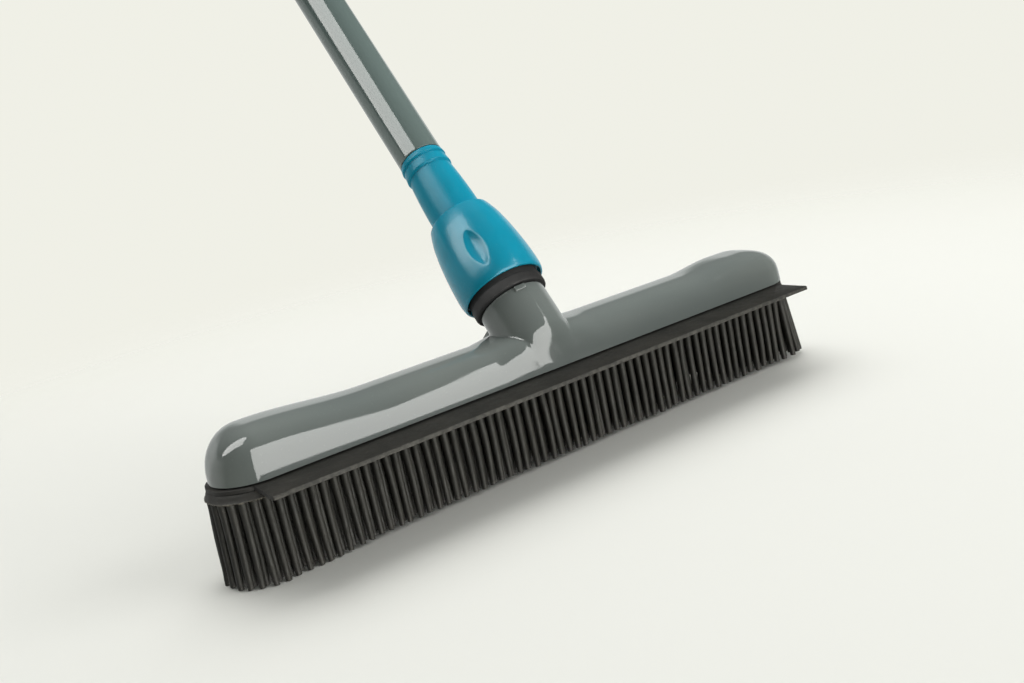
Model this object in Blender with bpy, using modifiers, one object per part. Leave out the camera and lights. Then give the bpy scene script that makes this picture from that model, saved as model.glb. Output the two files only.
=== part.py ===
"""Rubber broom with a squeegee lip, a bayonet collar and a telescopic pole.

Metres, +Z up. X runs along the head, the squeegee lip points to -Y and the pole leans back to +Y.
The origin is on the floor, under the middle of the head. The model scales with the sizes below.
"""

import math
import random

import bmesh
import bpy
from mathutils import Euler, Matrix, Vector

# Gaps between pieces
SEAT_GAP = 0.0003
RUNNING_GAP = 0.0004
CUT_OVERRUN = 0.001
MERGE_DISTANCE = 0.00001

# Rubber strands
STRAND_LENGTH = 0.0362
STRAND_PITCH = 0.00472
STRAND_BASE_RADIUS = 0.0020
STRAND_TIP_RADIUS = 0.0017
STRAND_ROOT_DEPTH = 0.0010
STRAND_FLOOR_CUT = 0.0005
STRAND_LENGTH_SCATTER = 0.0013
STRAND_LEAN_SCATTER = 0.00045
STRAND_END_SPLAY = 0.0062
STRAND_ROW_SPACING = 0.0058
STRAND_RINGS = 3
STRAND_SIDES = 4
STRAND_SEED = 7

# Rubber pad and its top sheet with the squeegee lip
PAD_LENGTH = 0.3200
PAD_DEPTH = 0.0394
PAD_THICKNESS = 0.0033
PAD_SLICES = 5
END_SLICE_COLUMNS = 9
SHEET_THICKNESS = 0.00185
LIP_END_INSET = 0.01475
LIP_PROJECTION = 0.0190

# Moulded housing
HOUSING_END_REVEAL = 0.0025
HOUSING_SIDE_REVEAL = 0.0003
HOUSING_WALL = 0.0024
HOUSING_SHADOW_GAP = 0.0008
MIDDLE_CROWN = 0.0170
HUMP_CROWN = 0.0202
HUMP_RISE_LENGTH = 0.0380
HUMP_TOP_LENGTH = 0.0085
NOSE_LENGTH = 0.0230
NOSE_EXPONENT = 2.6
MIDDLE_SECTION_EXPONENT = 2.7
HUMP_SECTION_EXPONENT = 3.2

# Base plate and its screws
PLATE_THICKNESS = 0.0030
PLATE_RIM_WALL = 0.0018
BOSS_RADIUS = 0.0042
SCREW_SPACING_INNER = 0.1000
SCREW_END_INSET = 0.0375
SCREW_SHANK_RADIUS = 0.0016
SCREW_SHANK_LENGTH = 0.0110
SCREW_HEAD_RADIUS = 0.0034
SCREW_HEAD_HEIGHT = 0.0014

# Neck: a round socket that leans back and ends in a ball
POLE_LEAN = math.radians(38.5)
NECK_RADIUS = 0.0169
NECK_LENGTH = 0.0168
NECK_ROOT_SIDE = 0.0023
NECK_ROOT_RISE = 0.01395
NECK_ROOT_BACK = -0.0022
NECK_WALL = 0.0022
NECK_BORE_DEPTH = 0.0183
NECK_EDGE = 0.0006
NECK_TAB_WIDTH = 0.0056
NECK_TAB_HEIGHT = 0.0024
NECK_TAB_PROUD = 0.0006
NECK_TAB_ANGLE = math.radians(-99)

# Black socket bush
BUSH_WALL = 0.0017
FLANGE_HEIGHT = 0.0067
FLANGE_FOOT_RADIUS = 0.0187
FLANGE_TOP_RADIUS = 0.0195
FLANGE_LIP = 0.0014
BUSH_SPIGOT_RADIUS = 0.0156
BUSH_SPIGOT_LENGTH = 0.0257
LUG_COUNT = 3
LUG_WIDTH = 0.0090
LUG_REACH = 0.0011
BUSH_LUG_HEIGHT = 0.0040
BUSH_LUG_TOP_DROP = 0.0025

# Teal collar
COLLAR_LENGTH = 0.0466
COLLAR_RADIUS = 0.0215
COLLAR_HEIGHT_SHARES = (0.0, 0.025, 0.19, 0.39, 0.60, 0.78, 0.90, 0.965, 1.0)
COLLAR_RADIUS_SHARES = (0.955, 0.975, 1.0, 0.98, 0.933, 0.871, 0.808, 0.763, 0.722)
COLLAR_LUG_HEIGHT = 0.0057
DIMPLE_COUNT = 3
DIMPLE_LENGTH = 0.0332
DIMPLE_WIDTH = 0.0125
DIMPLE_DEPTH = 0.0017
DIMPLE_HEIGHT_SHARE = 0.42
DIMPLE_ANGLE = math.radians(236.5)

# Rubber washer and teal pole adapter
WASHER_THICKNESS = 0.0015
WASHER_RIM = 0.0003
ADAPTER_BORE = 0.0090
ADAPTER_FLANGE_RADIUS = 0.0155
ADAPTER_FLANGE_HEIGHT = 0.0030
SLEEVE_BOTTOM_RADIUS = 0.01305
SLEEVE_TOP_RADIUS = 0.0115
SLEEVE_SHOWN_LENGTH = 0.0295
LOWER_RING_RADIUS = 0.0121
LOWER_RING_HEIGHT = 0.0055
UPPER_RING_RADIUS = 0.0120
UPPER_RING_HEIGHT = 0.0035
RING_GROOVE_DEPTH = 0.0004
RING_GROOVE_HEIGHT = 0.0006
ADAPTER_TOP_SPIGOT_LENGTH = 0.0400

# Lower pole tube and its guide bush
LOWER_TUBE_RADIUS = 0.0115
LOWER_TUBE_LENGTH = 0.6230
TUBE_WALL = 0.0006
GUIDE_HEAD_RADIUS = 0.0134
GUIDE_HEAD_HEIGHT = 0.0300
GUIDE_SPIGOT_LENGTH = 0.0150
GUIDE_EDGE = 0.0015

# Telescope: upper tube and the twist lock in its end
UPPER_TUBE_RADIUS = 0.0095
CAM_CLEARANCE_TO_ADAPTER = 0.0050
CAM_JOURNAL_RADIUS = 0.0065
CAM_OFFSET = 0.0010
CAM_JOURNAL_LENGTH = 0.0220
CAM_FLANGE_HEIGHT = 0.0025
CAM_SHOULDER_HEIGHT = 0.0030
CAM_SPIGOT_LENGTH = 0.0250
CAM_SLOT_WIDTH = 0.0030

# Hand grip
GRIP_LENGTH = 0.1300
GRIP_RADIUS = 0.0150
GRIP_TOP_STANDOFF = 0.0020
GRIP_STOP_GAP = 0.0042
GRIP_HEIGHT_SHARES = (0.0, 0.03, 0.12, 0.30, 0.50, 0.70, 0.88, 0.97, 1.0)
GRIP_RADIUS_SHARES = (0.90, 1.0, 0.94, 0.97, 1.0, 0.97, 0.93, 1.0, 0.93)

# Cap with a hanging eye
CAP_RADIUS = 0.0140
CAP_RIM_HEIGHT = 0.0060
CAP_EDGE = 0.0020
CAP_PLUG_LENGTH = 0.0260
EYE_WIDTH = 0.0250
EYE_HEIGHT = 0.0300
EYE_THICKNESS = 0.0080
EYE_HOLE_RADIUS = 0.0078

# Smoothness of the round shapes
POLE_STEPS = 24
COLLAR_STEPS = 36
SMALL_STEPS = 16
SECTION_STEPS = 12
MIDDLE_STATIONS = 1
RISE_STATIONS = 4
NOSE_STATIONS = 5
ARC_STEPS = 14
BALL_STEPS = 9

# Sizes of the head that follow the rubber pad
LIP_LENGTH = PAD_LENGTH - 2 * LIP_END_INSET
HOUSING_LENGTH = PAD_LENGTH - 2 * HOUSING_END_REVEAL
HOUSING_DEPTH = PAD_DEPTH - 2 * HOUSING_SIDE_REVEAL
SCREW_SPACING_OUTER = HOUSING_LENGTH - 2 * SCREW_END_INSET

# Levels above the floor, from the strand tips up
PAD_BOTTOM = STRAND_LENGTH
PAD_TOP = PAD_BOTTOM + PAD_THICKNESS
SHEET_BOTTOM = PAD_TOP + SEAT_GAP
SHEET_TOP = SHEET_BOTTOM + SHEET_THICKNESS
PLATE_BOTTOM = SHEET_TOP + SEAT_GAP
PLATE_TOP = PLATE_BOTTOM + PLATE_THICKNESS
REBATE_TOP = PLATE_TOP + SEAT_GAP
HOUSING_BASE = SHEET_TOP + HOUSING_SHADOW_GAP

# Levels along the pole's axis, from the centre of the neck's ball up
BORE_RADIUS = NECK_RADIUS - NECK_WALL
BORE_BOTTOM = NECK_LENGTH - NECK_BORE_DEPTH
BUSH_RADIUS = BORE_RADIUS - SEAT_GAP
BUSH_BORE = BUSH_RADIUS - BUSH_WALL
BUSH_BOTTOM = BORE_BOTTOM + SEAT_GAP
FLANGE_BOTTOM = NECK_LENGTH + SEAT_GAP
FLANGE_TOP = FLANGE_BOTTOM + FLANGE_HEIGHT
BUSH_TOP = FLANGE_TOP + BUSH_SPIGOT_LENGTH
BUSH_LUG_TOP = BUSH_TOP - BUSH_LUG_TOP_DROP
BUSH_LUG_BOTTOM = BUSH_LUG_TOP - BUSH_LUG_HEIGHT
WASHER_BOTTOM = BUSH_TOP + SEAT_GAP
WASHER_TOP = WASHER_BOTTOM + WASHER_THICKNESS
ADAPTER_FLANGE_BOTTOM = WASHER_TOP + SEAT_GAP
ADAPTER_FLANGE_TOP = ADAPTER_FLANGE_BOTTOM + ADAPTER_FLANGE_HEIGHT
ADAPTER_SPIGOT_RADIUS = BUSH_BORE - SEAT_GAP
COLLAR_BOTTOM = FLANGE_TOP + RUNNING_GAP
COLLAR_TOP = COLLAR_BOTTOM + COLLAR_LENGTH
COLLAR_STEP = ADAPTER_FLANGE_TOP + SEAT_GAP
COLLAR_LUG_TOP = BUSH_LUG_BOTTOM - SEAT_GAP
SLEEVE_TOP = COLLAR_TOP + SLEEVE_SHOWN_LENGTH
LOWER_RING_TOP = SLEEVE_TOP + LOWER_RING_HEIGHT
UPPER_RING_BOTTOM = LOWER_RING_TOP + RING_GROOVE_HEIGHT
UPPER_RING_TOP = UPPER_RING_BOTTOM + UPPER_RING_HEIGHT
LOWER_TUBE_BOTTOM = UPPER_RING_TOP + SEAT_GAP
LOWER_TUBE_TOP = LOWER_TUBE_BOTTOM + LOWER_TUBE_LENGTH
LOWER_TUBE_BORE = LOWER_TUBE_RADIUS - TUBE_WALL
ADAPTER_TOP = UPPER_RING_TOP + ADAPTER_TOP_SPIGOT_LENGTH
CAM_FLANGE_BOTTOM = ADAPTER_TOP + CAM_CLEARANCE_TO_ADAPTER
CAM_JOURNAL_BOTTOM = CAM_FLANGE_BOTTOM + CAM_FLANGE_HEIGHT
CAM_JOURNAL_TOP = CAM_JOURNAL_BOTTOM + CAM_JOURNAL_LENGTH
CAM_SHOULDER_TOP = CAM_JOURNAL_TOP + CAM_SHOULDER_HEIGHT
GUIDE_BOTTOM = LOWER_TUBE_TOP + SEAT_GAP
GUIDE_TOP = GUIDE_BOTTOM + GUIDE_HEAD_HEIGHT
GRIP_BOTTOM = GUIDE_TOP + GRIP_STOP_GAP
GRIP_TOP = GRIP_BOTTOM + GRIP_LENGTH
UPPER_TUBE_BOTTOM = CAM_SHOULDER_TOP + SEAT_GAP
UPPER_TUBE_TOP = GRIP_TOP - GRIP_TOP_STANDOFF
UPPER_TUBE_BORE = UPPER_TUBE_RADIUS - TUBE_WALL
CAP_BOTTOM = GRIP_TOP + SEAT_GAP
CAP_RIM_TOP = CAP_BOTTOM + CAP_RIM_HEIGHT

FULL_TURN = math.tau
HALF_TURN = math.pi


def clear_scene():
    """Remove every object, so that the script starts from nothing."""
    for obj in list(bpy.data.objects):
        bpy.data.objects.remove(obj, do_unlink=True)


def make_collection(name):
    """Add a collection to the scene."""
    collection = bpy.data.collections.new(name)
    bpy.context.scene.collection.children.link(collection)
    return collection


def make_material(name, colour, roughness, metallic):
    """A plain Principled BSDF material."""
    material = bpy.data.materials.new(name)
    material.use_nodes = True
    shader = material.node_tree.nodes["Principled BSDF"]
    shader.inputs["Base Color"].default_value = (*colour, 1.0)
    shader.inputs["Roughness"].default_value = roughness
    shader.inputs["Metallic"].default_value = metallic
    material.diffuse_color = (*colour, 1.0)
    return material


def grey_plastic(name):
    return make_material(name, (0.155, 0.172, 0.162), 0.22, 0.0)


def teal_plastic(name):
    return make_material(name, (0.010, 0.270, 0.385), 0.34, 0.0)


def black_rubber(name):
    return make_material(name, (0.020, 0.019, 0.017), 0.62, 0.0)


def black_plastic(name):
    return make_material(name, (0.014, 0.013, 0.013), 0.40, 0.0)


def pale_plastic(name):
    return make_material(name, (0.62, 0.62, 0.60), 0.45, 0.0)


def painted_tube(name):
    return make_material(name, (0.135, 0.175, 0.166), 0.28, 0.0)


def zinc_steel(name):
    return make_material(name, (0.56, 0.57, 0.58), 0.35, 1.0)


def add_part(name, data, material, parent=None):
    """One sub-part: an object in the model's own collection, with its own material."""
    obj = bpy.data.objects.new(name, data)
    PARTS.objects.link(obj)
    obj.data.materials.clear()
    obj.data.materials.append(material)
    obj.parent = parent
    return obj


def add_tool(name, data, parent=None):
    """A cutter, or a shape to be joined: it is left out of the renders."""
    obj = bpy.data.objects.new(name, data)
    CUTTERS.objects.link(obj)
    obj.parent = parent
    obj.hide_render = True
    obj.display_type = "WIRE"
    return obj


def add_axis(name, parent=None, location=(0, 0, 0), lean=0.0):
    """An empty that holds pieces on an axis."""
    empty = bpy.data.objects.new(name, None)
    PARTS.objects.link(empty)
    empty.parent = parent
    empty.location = location
    empty.rotation_euler = (-lean, 0, 0)
    empty.empty_display_size = NECK_RADIUS
    return empty


def combine(target, tool, operation):
    """Cut the tool from the target, or join it on, with an exact Boolean."""
    modifier = target.modifiers.new(tool.name, "BOOLEAN")
    modifier.operation = operation
    modifier.solver = "EXACT"
    modifier.object = tool


def cut(target, tool):
    combine(target, tool, "DIFFERENCE")


def join(target, tool):
    combine(target, tool, "UNION")


def mesh_from(build):
    """A mesh filled in by a function that works on a bmesh."""
    mesh = bpy.data.meshes.new("shape")
    shape = bmesh.new()
    build(shape)
    shape.normal_update()
    shape.to_mesh(mesh)
    shape.free()
    return mesh


def box_mesh(size, centre):
    """A box of a given size about a given centre."""
    matrix = Matrix.Translation(centre) @ Matrix.Diagonal((*size, 1.0))
    return mesh_from(lambda shape: bmesh.ops.create_cube(shape, size=1.0, matrix=matrix))


def rod_mesh(radius, bottom, top, centre=(0.0, 0.0), steps=SMALL_STEPS):
    """A round rod between two heights, with no corner on the head's middle plane."""
    middle = Matrix.Translation((centre[0], centre[1], (bottom + top) / 2))
    half_step = Matrix.Rotation(HALF_TURN / steps, 4, "Z")

    def build(shape):
        bmesh.ops.create_cone(
            shape,
            cap_ends=True,
            segments=steps,
            radius1=radius,
            radius2=radius,
            depth=top - bottom,
            matrix=middle @ half_step,
        )

    return mesh_from(build)


def profile_mesh(profile, closed):
    """Edges through points of radius and height, for a Screw modifier."""
    mesh = bpy.data.meshes.new("profile")
    points = [(radius, 0.0, height) for radius, height in profile]
    edges = [(index, index + 1) for index in range(len(points) - 1)]
    if closed:
        edges.append((len(points) - 1, 0))
    mesh.from_pydata(points, edges, [])
    return mesh


def turn(obj, steps):
    """Turn an object's profile about its own Z axis."""
    screw = obj.modifiers.new("turned", "SCREW")
    screw.axis = "Z"
    screw.angle = FULL_TURN
    screw.steps = steps
    screw.render_steps = steps
    screw.use_merge_vertices = True
    screw.merge_threshold = MERGE_DISTANCE
    screw.use_smooth_shade = True
    return obj


def turned_part(name, profile, material, parent, steps=POLE_STEPS, closed=True):
    """A turned piece. The profile runs down the outer side and up the bore."""
    return turn(add_part(name, profile_mesh(profile, closed), material, parent), steps)


def turned_tool(name, profile, parent, steps=POLE_STEPS, closed=False):
    return turn(add_tool(name, profile_mesh(profile, closed), parent), steps)


def ring_profile(outer, bore, bottom, top):
    """The profile of a plain ring or tube."""
    return [(outer, top), (outer, bottom), (bore, bottom), (bore, top)]


def scaled_profile(height_shares, radius_shares, bottom, length, radius):
    """Outer points of a turned piece, from its top down."""
    pairs = zip(reversed(height_shares), reversed(radius_shares))
    return [(radius * across, bottom + length * up) for up, across in pairs]


def arc(centre, radius, start, end, steps):
    """Points along an arc, both ends included."""
    points = []
    for index in range(steps + 1):
        angle = start + (end - start) * index / steps
        points.append((centre[0] + radius * math.cos(angle), centre[1] + radius * math.sin(angle)))
    return points


def stadium(length, depth):
    """Outline with straight sides and round ends."""
    radius = depth / 2
    straight = length / 2 - radius
    right = arc((straight, 0), radius, -HALF_TURN / 2, HALF_TURN / 2, ARC_STEPS)
    left = arc((-straight, 0), radius, HALF_TURN / 2, HALF_TURN * 3 / 2, ARC_STEPS)
    return right + left


def outline_curve(loops, thickness):
    """A flat outline, with any holes, thickened about its own plane."""
    curve = bpy.data.curves.new("outline", "CURVE")
    curve.dimensions = "2D"
    curve.fill_mode = "BOTH"
    curve.extrude = thickness / 2
    for loop in loops:
        spline = curve.splines.new("POLY")
        spline.points.add(len(loop) - 1)
        for point, (x, y) in zip(spline.points, loop):
            point.co = (x, y, 0, 1)
        spline.use_cyclic_u = True
    return curve


def outline_mesh(loops, bottom, top):
    """The mesh of a thickened outline that stands between two heights."""
    guide = bpy.data.objects.new("outline", outline_curve(loops, top - bottom))
    CUTTERS.objects.link(guide)
    evaluated = guide.evaluated_get(bpy.context.evaluated_depsgraph_get())
    mesh = bpy.data.meshes.new_from_object(evaluated)
    bpy.data.objects.remove(guide, do_unlink=True)
    shape = bmesh.new()
    shape.from_mesh(mesh)
    bmesh.ops.remove_doubles(shape, verts=shape.verts, dist=MERGE_DISTANCE)
    bmesh.ops.recalc_face_normals(shape, faces=shape.faces)
    for vertex in shape.verts:
        vertex.co.z = top if vertex.co.z > 0 else bottom
    shape.to_mesh(mesh)
    shape.free()
    mesh.materials.clear()
    return mesh


def smooth_step(share):
    share = min(max(share, 0.0), 1.0)
    return share * share * (3 - 2 * share)


def housing_shape(x, inset):
    """Half depth, crown height and section exponent of the housing at a place along its half."""
    half_length = HOUSING_LENGTH / 2 - inset
    end_radius = HOUSING_DEPTH / 2 - inset
    nose_start = HOUSING_LENGTH / 2 - NOSE_LENGTH
    rise_end = nose_start - HUMP_TOP_LENGTH
    rise = smooth_step((x - rise_end + HUMP_RISE_LENGTH) / HUMP_RISE_LENGTH)
    crown = MIDDLE_CROWN + (HUMP_CROWN - MIDDLE_CROWN) * rise - inset
    past_round = max(x - half_length + end_radius, 0.0)
    half_depth = math.sqrt(max(end_radius**2 - past_round**2, 0.0))
    past_nose = min(max(x - nose_start, 0.0) / (half_length - nose_start), 1.0)
    crown *= (1 - past_nose**NOSE_EXPONENT) ** (1 / NOSE_EXPONENT)
    exponent = MIDDLE_SECTION_EXPONENT + (HUMP_SECTION_EXPONENT - MIDDLE_SECTION_EXPONENT) * rise
    return half_depth, crown, exponent


def housing_section(x, inset, drop):
    """Points over the housing at a place along it, from the front edge to the back edge."""
    half_depth, crown, exponent = housing_shape(x, inset)
    points = [(x, -half_depth, -drop)] if drop else []
    for index in range(SECTION_STEPS + 1):
        angle = HALF_TURN * index / SECTION_STEPS
        across = math.copysign(abs(math.cos(angle)) ** (2 / exponent), math.cos(angle))
        up = max(math.sin(angle), 0.0) ** (2 / exponent)
        points.append((x, -half_depth * across, crown * up))
    if drop:
        points.append((x, half_depth, -drop))
    return points


def housing_stations(start, inset):
    """Places along one half where the housing's section is set, without its tip."""
    half_length = HOUSING_LENGTH / 2 - inset
    nose_start = HOUSING_LENGTH / 2 - NOSE_LENGTH
    rise_end = nose_start - HUMP_TOP_LENGTH
    rise_start = rise_end - HUMP_RISE_LENGTH
    places = [start + (rise_start - start) * index / MIDDLE_STATIONS for index in range(MIDDLE_STATIONS)]
    places += [rise_start + HUMP_RISE_LENGTH * index / RISE_STATIONS for index in range(RISE_STATIONS)]
    places += [rise_end]
    for index in range(NOSE_STATIONS):
        angle = HALF_TURN / 2 * index / NOSE_STATIONS
        places.append(nose_start + (half_length - nose_start) * math.sin(angle))
    return places


def housing_half_mesh(start, inset, drop, closed_start):
    """A loft along one half of the housing, from a place near its middle to its round end."""

    def build(shape):
        rings = []
        for x in housing_stations(start, inset):
            rings.append([shape.verts.new(point) for point in housing_section(x, inset, drop)])
        for near, far in zip(rings, rings[1:]):
            for index in range(len(near)):
                following = (index + 1) % len(near)
                shape.faces.new((near[index], near[following], far[following], far[index]))
        tip_x = HOUSING_LENGTH / 2 - inset
        last = rings[-1]
        top_tip = shape.verts.new((tip_x, 0, 0))
        if drop:
            low_tip = shape.verts.new((tip_x, 0, -drop))
            for index in range(1, len(last) - 2):
                shape.faces.new((last[index], last[index + 1], top_tip))
            shape.faces.new((last[0], last[1], top_tip, low_tip))
            shape.faces.new((last[-2], last[-1], low_tip, top_tip))
            shape.faces.new((last[-1], last[0], low_tip))
        else:
            for index in range(len(last)):
                shape.faces.new((last[index], last[(index + 1) % len(last)], top_tip))
        if closed_start:
            shape.faces.new(reversed(rings[0]))
        bmesh.ops.recalc_face_normals(shape, faces=shape.faces)

    return mesh_from(build)


def mirror_in_x(obj):
    mirror = obj.modifiers.new("both halves", "MIRROR")
    mirror.use_axis = (True, False, False)
    mirror.merge_threshold = MERGE_DISTANCE


def screw_places():
    """Where the plate's screws stand along the head."""
    return [
        side * spacing / 2
        for side in (-1, 1)
        for spacing in (SCREW_SPACING_INNER, SCREW_SPACING_OUTER)
    ]


def make_housing(neck_axis):
    """The moulded shell: outer bar, neck with its ball root, two pockets, bosses, rebate and bore."""
    housing = add_part(
        "head_housing",
        housing_half_mesh(0.0, 0.0, 0.0, False),
        grey_plastic("housing grey"),
    )
    housing.location = (0, 0, HOUSING_BASE)
    mirror_in_x(housing)
    neck = [(0, NECK_LENGTH), (NECK_RADIUS - NECK_EDGE, NECK_LENGTH)]
    neck += [(NECK_RADIUS, NECK_LENGTH - NECK_EDGE)]
    neck += arc((0, 0), NECK_RADIUS, 0, -HALF_TURN / 2, BALL_STEPS)
    neck[-1] = (0, -NECK_RADIUS)
    join(housing, turned_tool("neck_form", neck, neck_axis, COLLAR_STEPS))
    tab_middle = NECK_LENGTH - (NECK_EDGE + NECK_TAB_HEIGHT) / 2
    tab_size = (NECK_WALL, NECK_TAB_WIDTH, NECK_TAB_HEIGHT)
    tab_reach = NECK_RADIUS + NECK_TAB_PROUD - NECK_WALL / 2
    tab_centre = (tab_reach, 0, tab_middle)
    tab = add_tool("neck_tab_form", box_mesh(tab_size, tab_centre), neck_axis)
    tab.rotation_euler = (0, 0, NECK_TAB_ANGLE)
    join(housing, tab)
    pocket_start = NECK_RADIUS + NECK_ROOT_SIDE + HOUSING_WALL
    pocket_mesh = housing_half_mesh(pocket_start, HOUSING_WALL, HOUSING_SHADOW_GAP, True)
    pockets = add_tool("pocket_form", pocket_mesh)
    pockets.location = (0, 0, HOUSING_BASE)
    mirror_in_x(pockets)
    cut(housing, pockets)
    for index, x in enumerate(screw_places(), 1):
        roof = HOUSING_BASE + housing_shape(abs(x), 0)[1] - HOUSING_WALL / 2
        boss = rod_mesh(BOSS_RADIUS, HOUSING_BASE, roof, (x, 0))
        join(housing, add_tool(f"boss_form_{index}", boss))
    rebate_length = HOUSING_LENGTH - 2 * PLATE_RIM_WALL
    rebate_depth = HOUSING_DEPTH - 2 * PLATE_RIM_WALL
    rebate_loop = stadium(rebate_length, rebate_depth)
    rebate = outline_mesh([rebate_loop], SHEET_BOTTOM - NECK_RADIUS, REBATE_TOP)
    cut(housing, add_tool("rebate_form", rebate))
    bore = [(0, NECK_LENGTH + CUT_OVERRUN), (BORE_RADIUS, NECK_LENGTH + CUT_OVERRUN)]
    bore += [(BORE_RADIUS, BORE_BOTTOM), (0, BORE_BOTTOM)]
    cut(housing, turned_tool("neck_bore_form", bore, neck_axis, COLLAR_STEPS))
    pilot_radius = SCREW_SHANK_RADIUS + SEAT_GAP
    pilot_top = PLATE_BOTTOM + SCREW_HEAD_HEIGHT + SCREW_SHANK_LENGTH + CUT_OVERRUN
    for index, x in enumerate(screw_places(), 1):
        pilot = rod_mesh(pilot_radius, PLATE_BOTTOM, pilot_top, (x, 0))
        cut(housing, add_tool(f"pilot_form_{index}", pilot))


def make_base_plate():
    """The stiff plate that closes the housing, with countersunk screw holes."""
    length = HOUSING_LENGTH - 2 * (PLATE_RIM_WALL + SEAT_GAP)
    depth = HOUSING_DEPTH - 2 * (PLATE_RIM_WALL + SEAT_GAP)
    mesh = outline_mesh([stadium(length, depth)], PLATE_BOTTOM, PLATE_TOP)
    plate = add_part("base_plate", mesh, black_plastic("plate black"))
    hole_radius = SCREW_SHANK_RADIUS + SEAT_GAP
    sink_radius = SCREW_HEAD_RADIUS + SEAT_GAP
    sink_top = PLATE_BOTTOM + SCREW_HEAD_HEIGHT + SEAT_GAP
    profile = [
        (0, PLATE_TOP + CUT_OVERRUN),
        (hole_radius, PLATE_TOP + CUT_OVERRUN),
        (hole_radius, sink_top),
        (sink_radius, sink_top),
        (sink_radius, PLATE_BOTTOM - CUT_OVERRUN),
        (0, PLATE_BOTTOM - CUT_OVERRUN),
    ]
    for index, x in enumerate(screw_places(), 1):
        hole = turned_tool(f"plate_hole_form_{index}", profile, None, SMALL_STEPS)
        hole.location = (x, 0, 0)
        hole.rotation_euler = (0, 0, HALF_TURN / SMALL_STEPS)
        cut(plate, hole)


def make_plate_screws():
    """The screws that pull the plate to the housing's bosses, heads down."""
    head_top = PLATE_BOTTOM + SCREW_HEAD_HEIGHT
    shank_top = head_top + SCREW_SHANK_LENGTH
    profile = [
        (0, shank_top),
        (SCREW_SHANK_RADIUS, shank_top),
        (SCREW_SHANK_RADIUS, head_top),
        (SCREW_HEAD_RADIUS, head_top),
        (SCREW_HEAD_RADIUS, PLATE_BOTTOM),
        (0, PLATE_BOTTOM),
    ]
    for index, x in enumerate(screw_places(), 1):
        material = zinc_steel(f"screw zinc {index}")
        screw = turned_part(f"plate_screw_{index}", profile, material, None, SMALL_STEPS, False)
        screw.location = (x, 0, 0)


def sheet_outline():
    """The pad's outline with the squeegee lip along its front."""
    radius = PAD_DEPTH / 2
    straight = PAD_LENGTH / 2 - radius
    front = -radius - LIP_PROJECTION
    lip_half = LIP_LENGTH / 2
    root_angle = -math.acos(min(max(lip_half - straight, 0.0) / radius, 1.0))
    root_depth = radius * math.sin(root_angle)
    right = arc((straight, 0), radius, root_angle, HALF_TURN / 2, ARC_STEPS)
    left = [(-x, y) for x, y in reversed(right)]
    if lip_half < straight:
        right.insert(0, (lip_half, root_depth))
        left.append((-lip_half, root_depth))
    return [(lip_half, front)] + right + left + [(-lip_half, front)]


def make_rubber_sheet():
    """The top sheet of the rubber moulding and its flat lip."""
    mesh = outline_mesh([sheet_outline()], SHEET_BOTTOM, SHEET_TOP)
    add_part("rubber_sheet", mesh, black_rubber("sheet rubber"))


def strand_places():
    """Roots of all strands: straight columns along the head, then the turns round its two ends."""
    straight = (PAD_LENGTH - PAD_DEPTH) / 2
    last_column = int(straight / STRAND_PITCH)
    column_end = last_column * STRAND_PITCH
    overhang = straight - column_end
    places = []
    for column in range(-last_column, last_column + 1):
        for row in range(-STRAND_RINGS, STRAND_RINGS + 1):
            places.append(Vector((column * STRAND_PITCH, row * STRAND_ROW_SPACING)))
    for ring in range(1, STRAND_RINGS + 1):
        radius = ring * STRAND_ROW_SPACING
        way = 2 * overhang + HALF_TURN * radius
        count = int(way / STRAND_PITCH)
        for index in range(1, count):
            along = way * index / count
            angle = (along - overhang) / radius
            if 0 <= angle <= HALF_TURN:
                x = straight + radius * math.sin(angle)
                y = -radius * math.cos(angle)
            else:
                x = column_end + min(along, way - along)
                y = -radius if along < overhang else radius
            places += [Vector((x, y)), Vector((-x, y))]
    room = STRAND_ROW_SPACING + overhang
    count = int(room / (2 * STRAND_BASE_RADIUS + SEAT_GAP))
    for index in range(1, count):
        x = column_end + room * index / count
        places += [Vector((x, 0)), Vector((-x, 0))]
    return places


def slice_edges():
    """Places along the head where the pad is cut, midway between two columns of strands."""
    straight = (PAD_LENGTH - PAD_DEPTH) / 2
    last_column = int(straight / STRAND_PITCH)
    inner = last_column - END_SLICE_COLUMNS
    edges = []
    for index in range(1, PAD_SLICES):
        column = round(-inner + 2 * inner * (index - 1) / (PAD_SLICES - 2))
        edges.append((column + (0.5 if column > 0 else -0.5)) * STRAND_PITCH)
    return edges


def strand_tip(root, chance):
    """The middle of a strand's tip: leaning a little at random, and outwards at the head's ends."""
    straight = (PAD_LENGTH - PAD_DEPTH) / 2
    past_end = max(abs(root.x) - straight, 0.0)
    from_middle = Vector((math.copysign(past_end, root.x), root.y))
    turned_share = math.sqrt(past_end / from_middle.length) if past_end else 0.0
    outward = from_middle * (STRAND_END_SPLAY / (PAD_DEPTH / 2)) * turned_share
    scatter = Vector((chance.uniform(-1, 1), chance.uniform(-1, 1))) * STRAND_LEAN_SCATTER
    height = chance.random() * STRAND_LENGTH_SCATTER - STRAND_FLOOR_CUT
    if not root.length:
        return root, 0.0
    return root + outward + scatter, max(height, 0.0)


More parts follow.
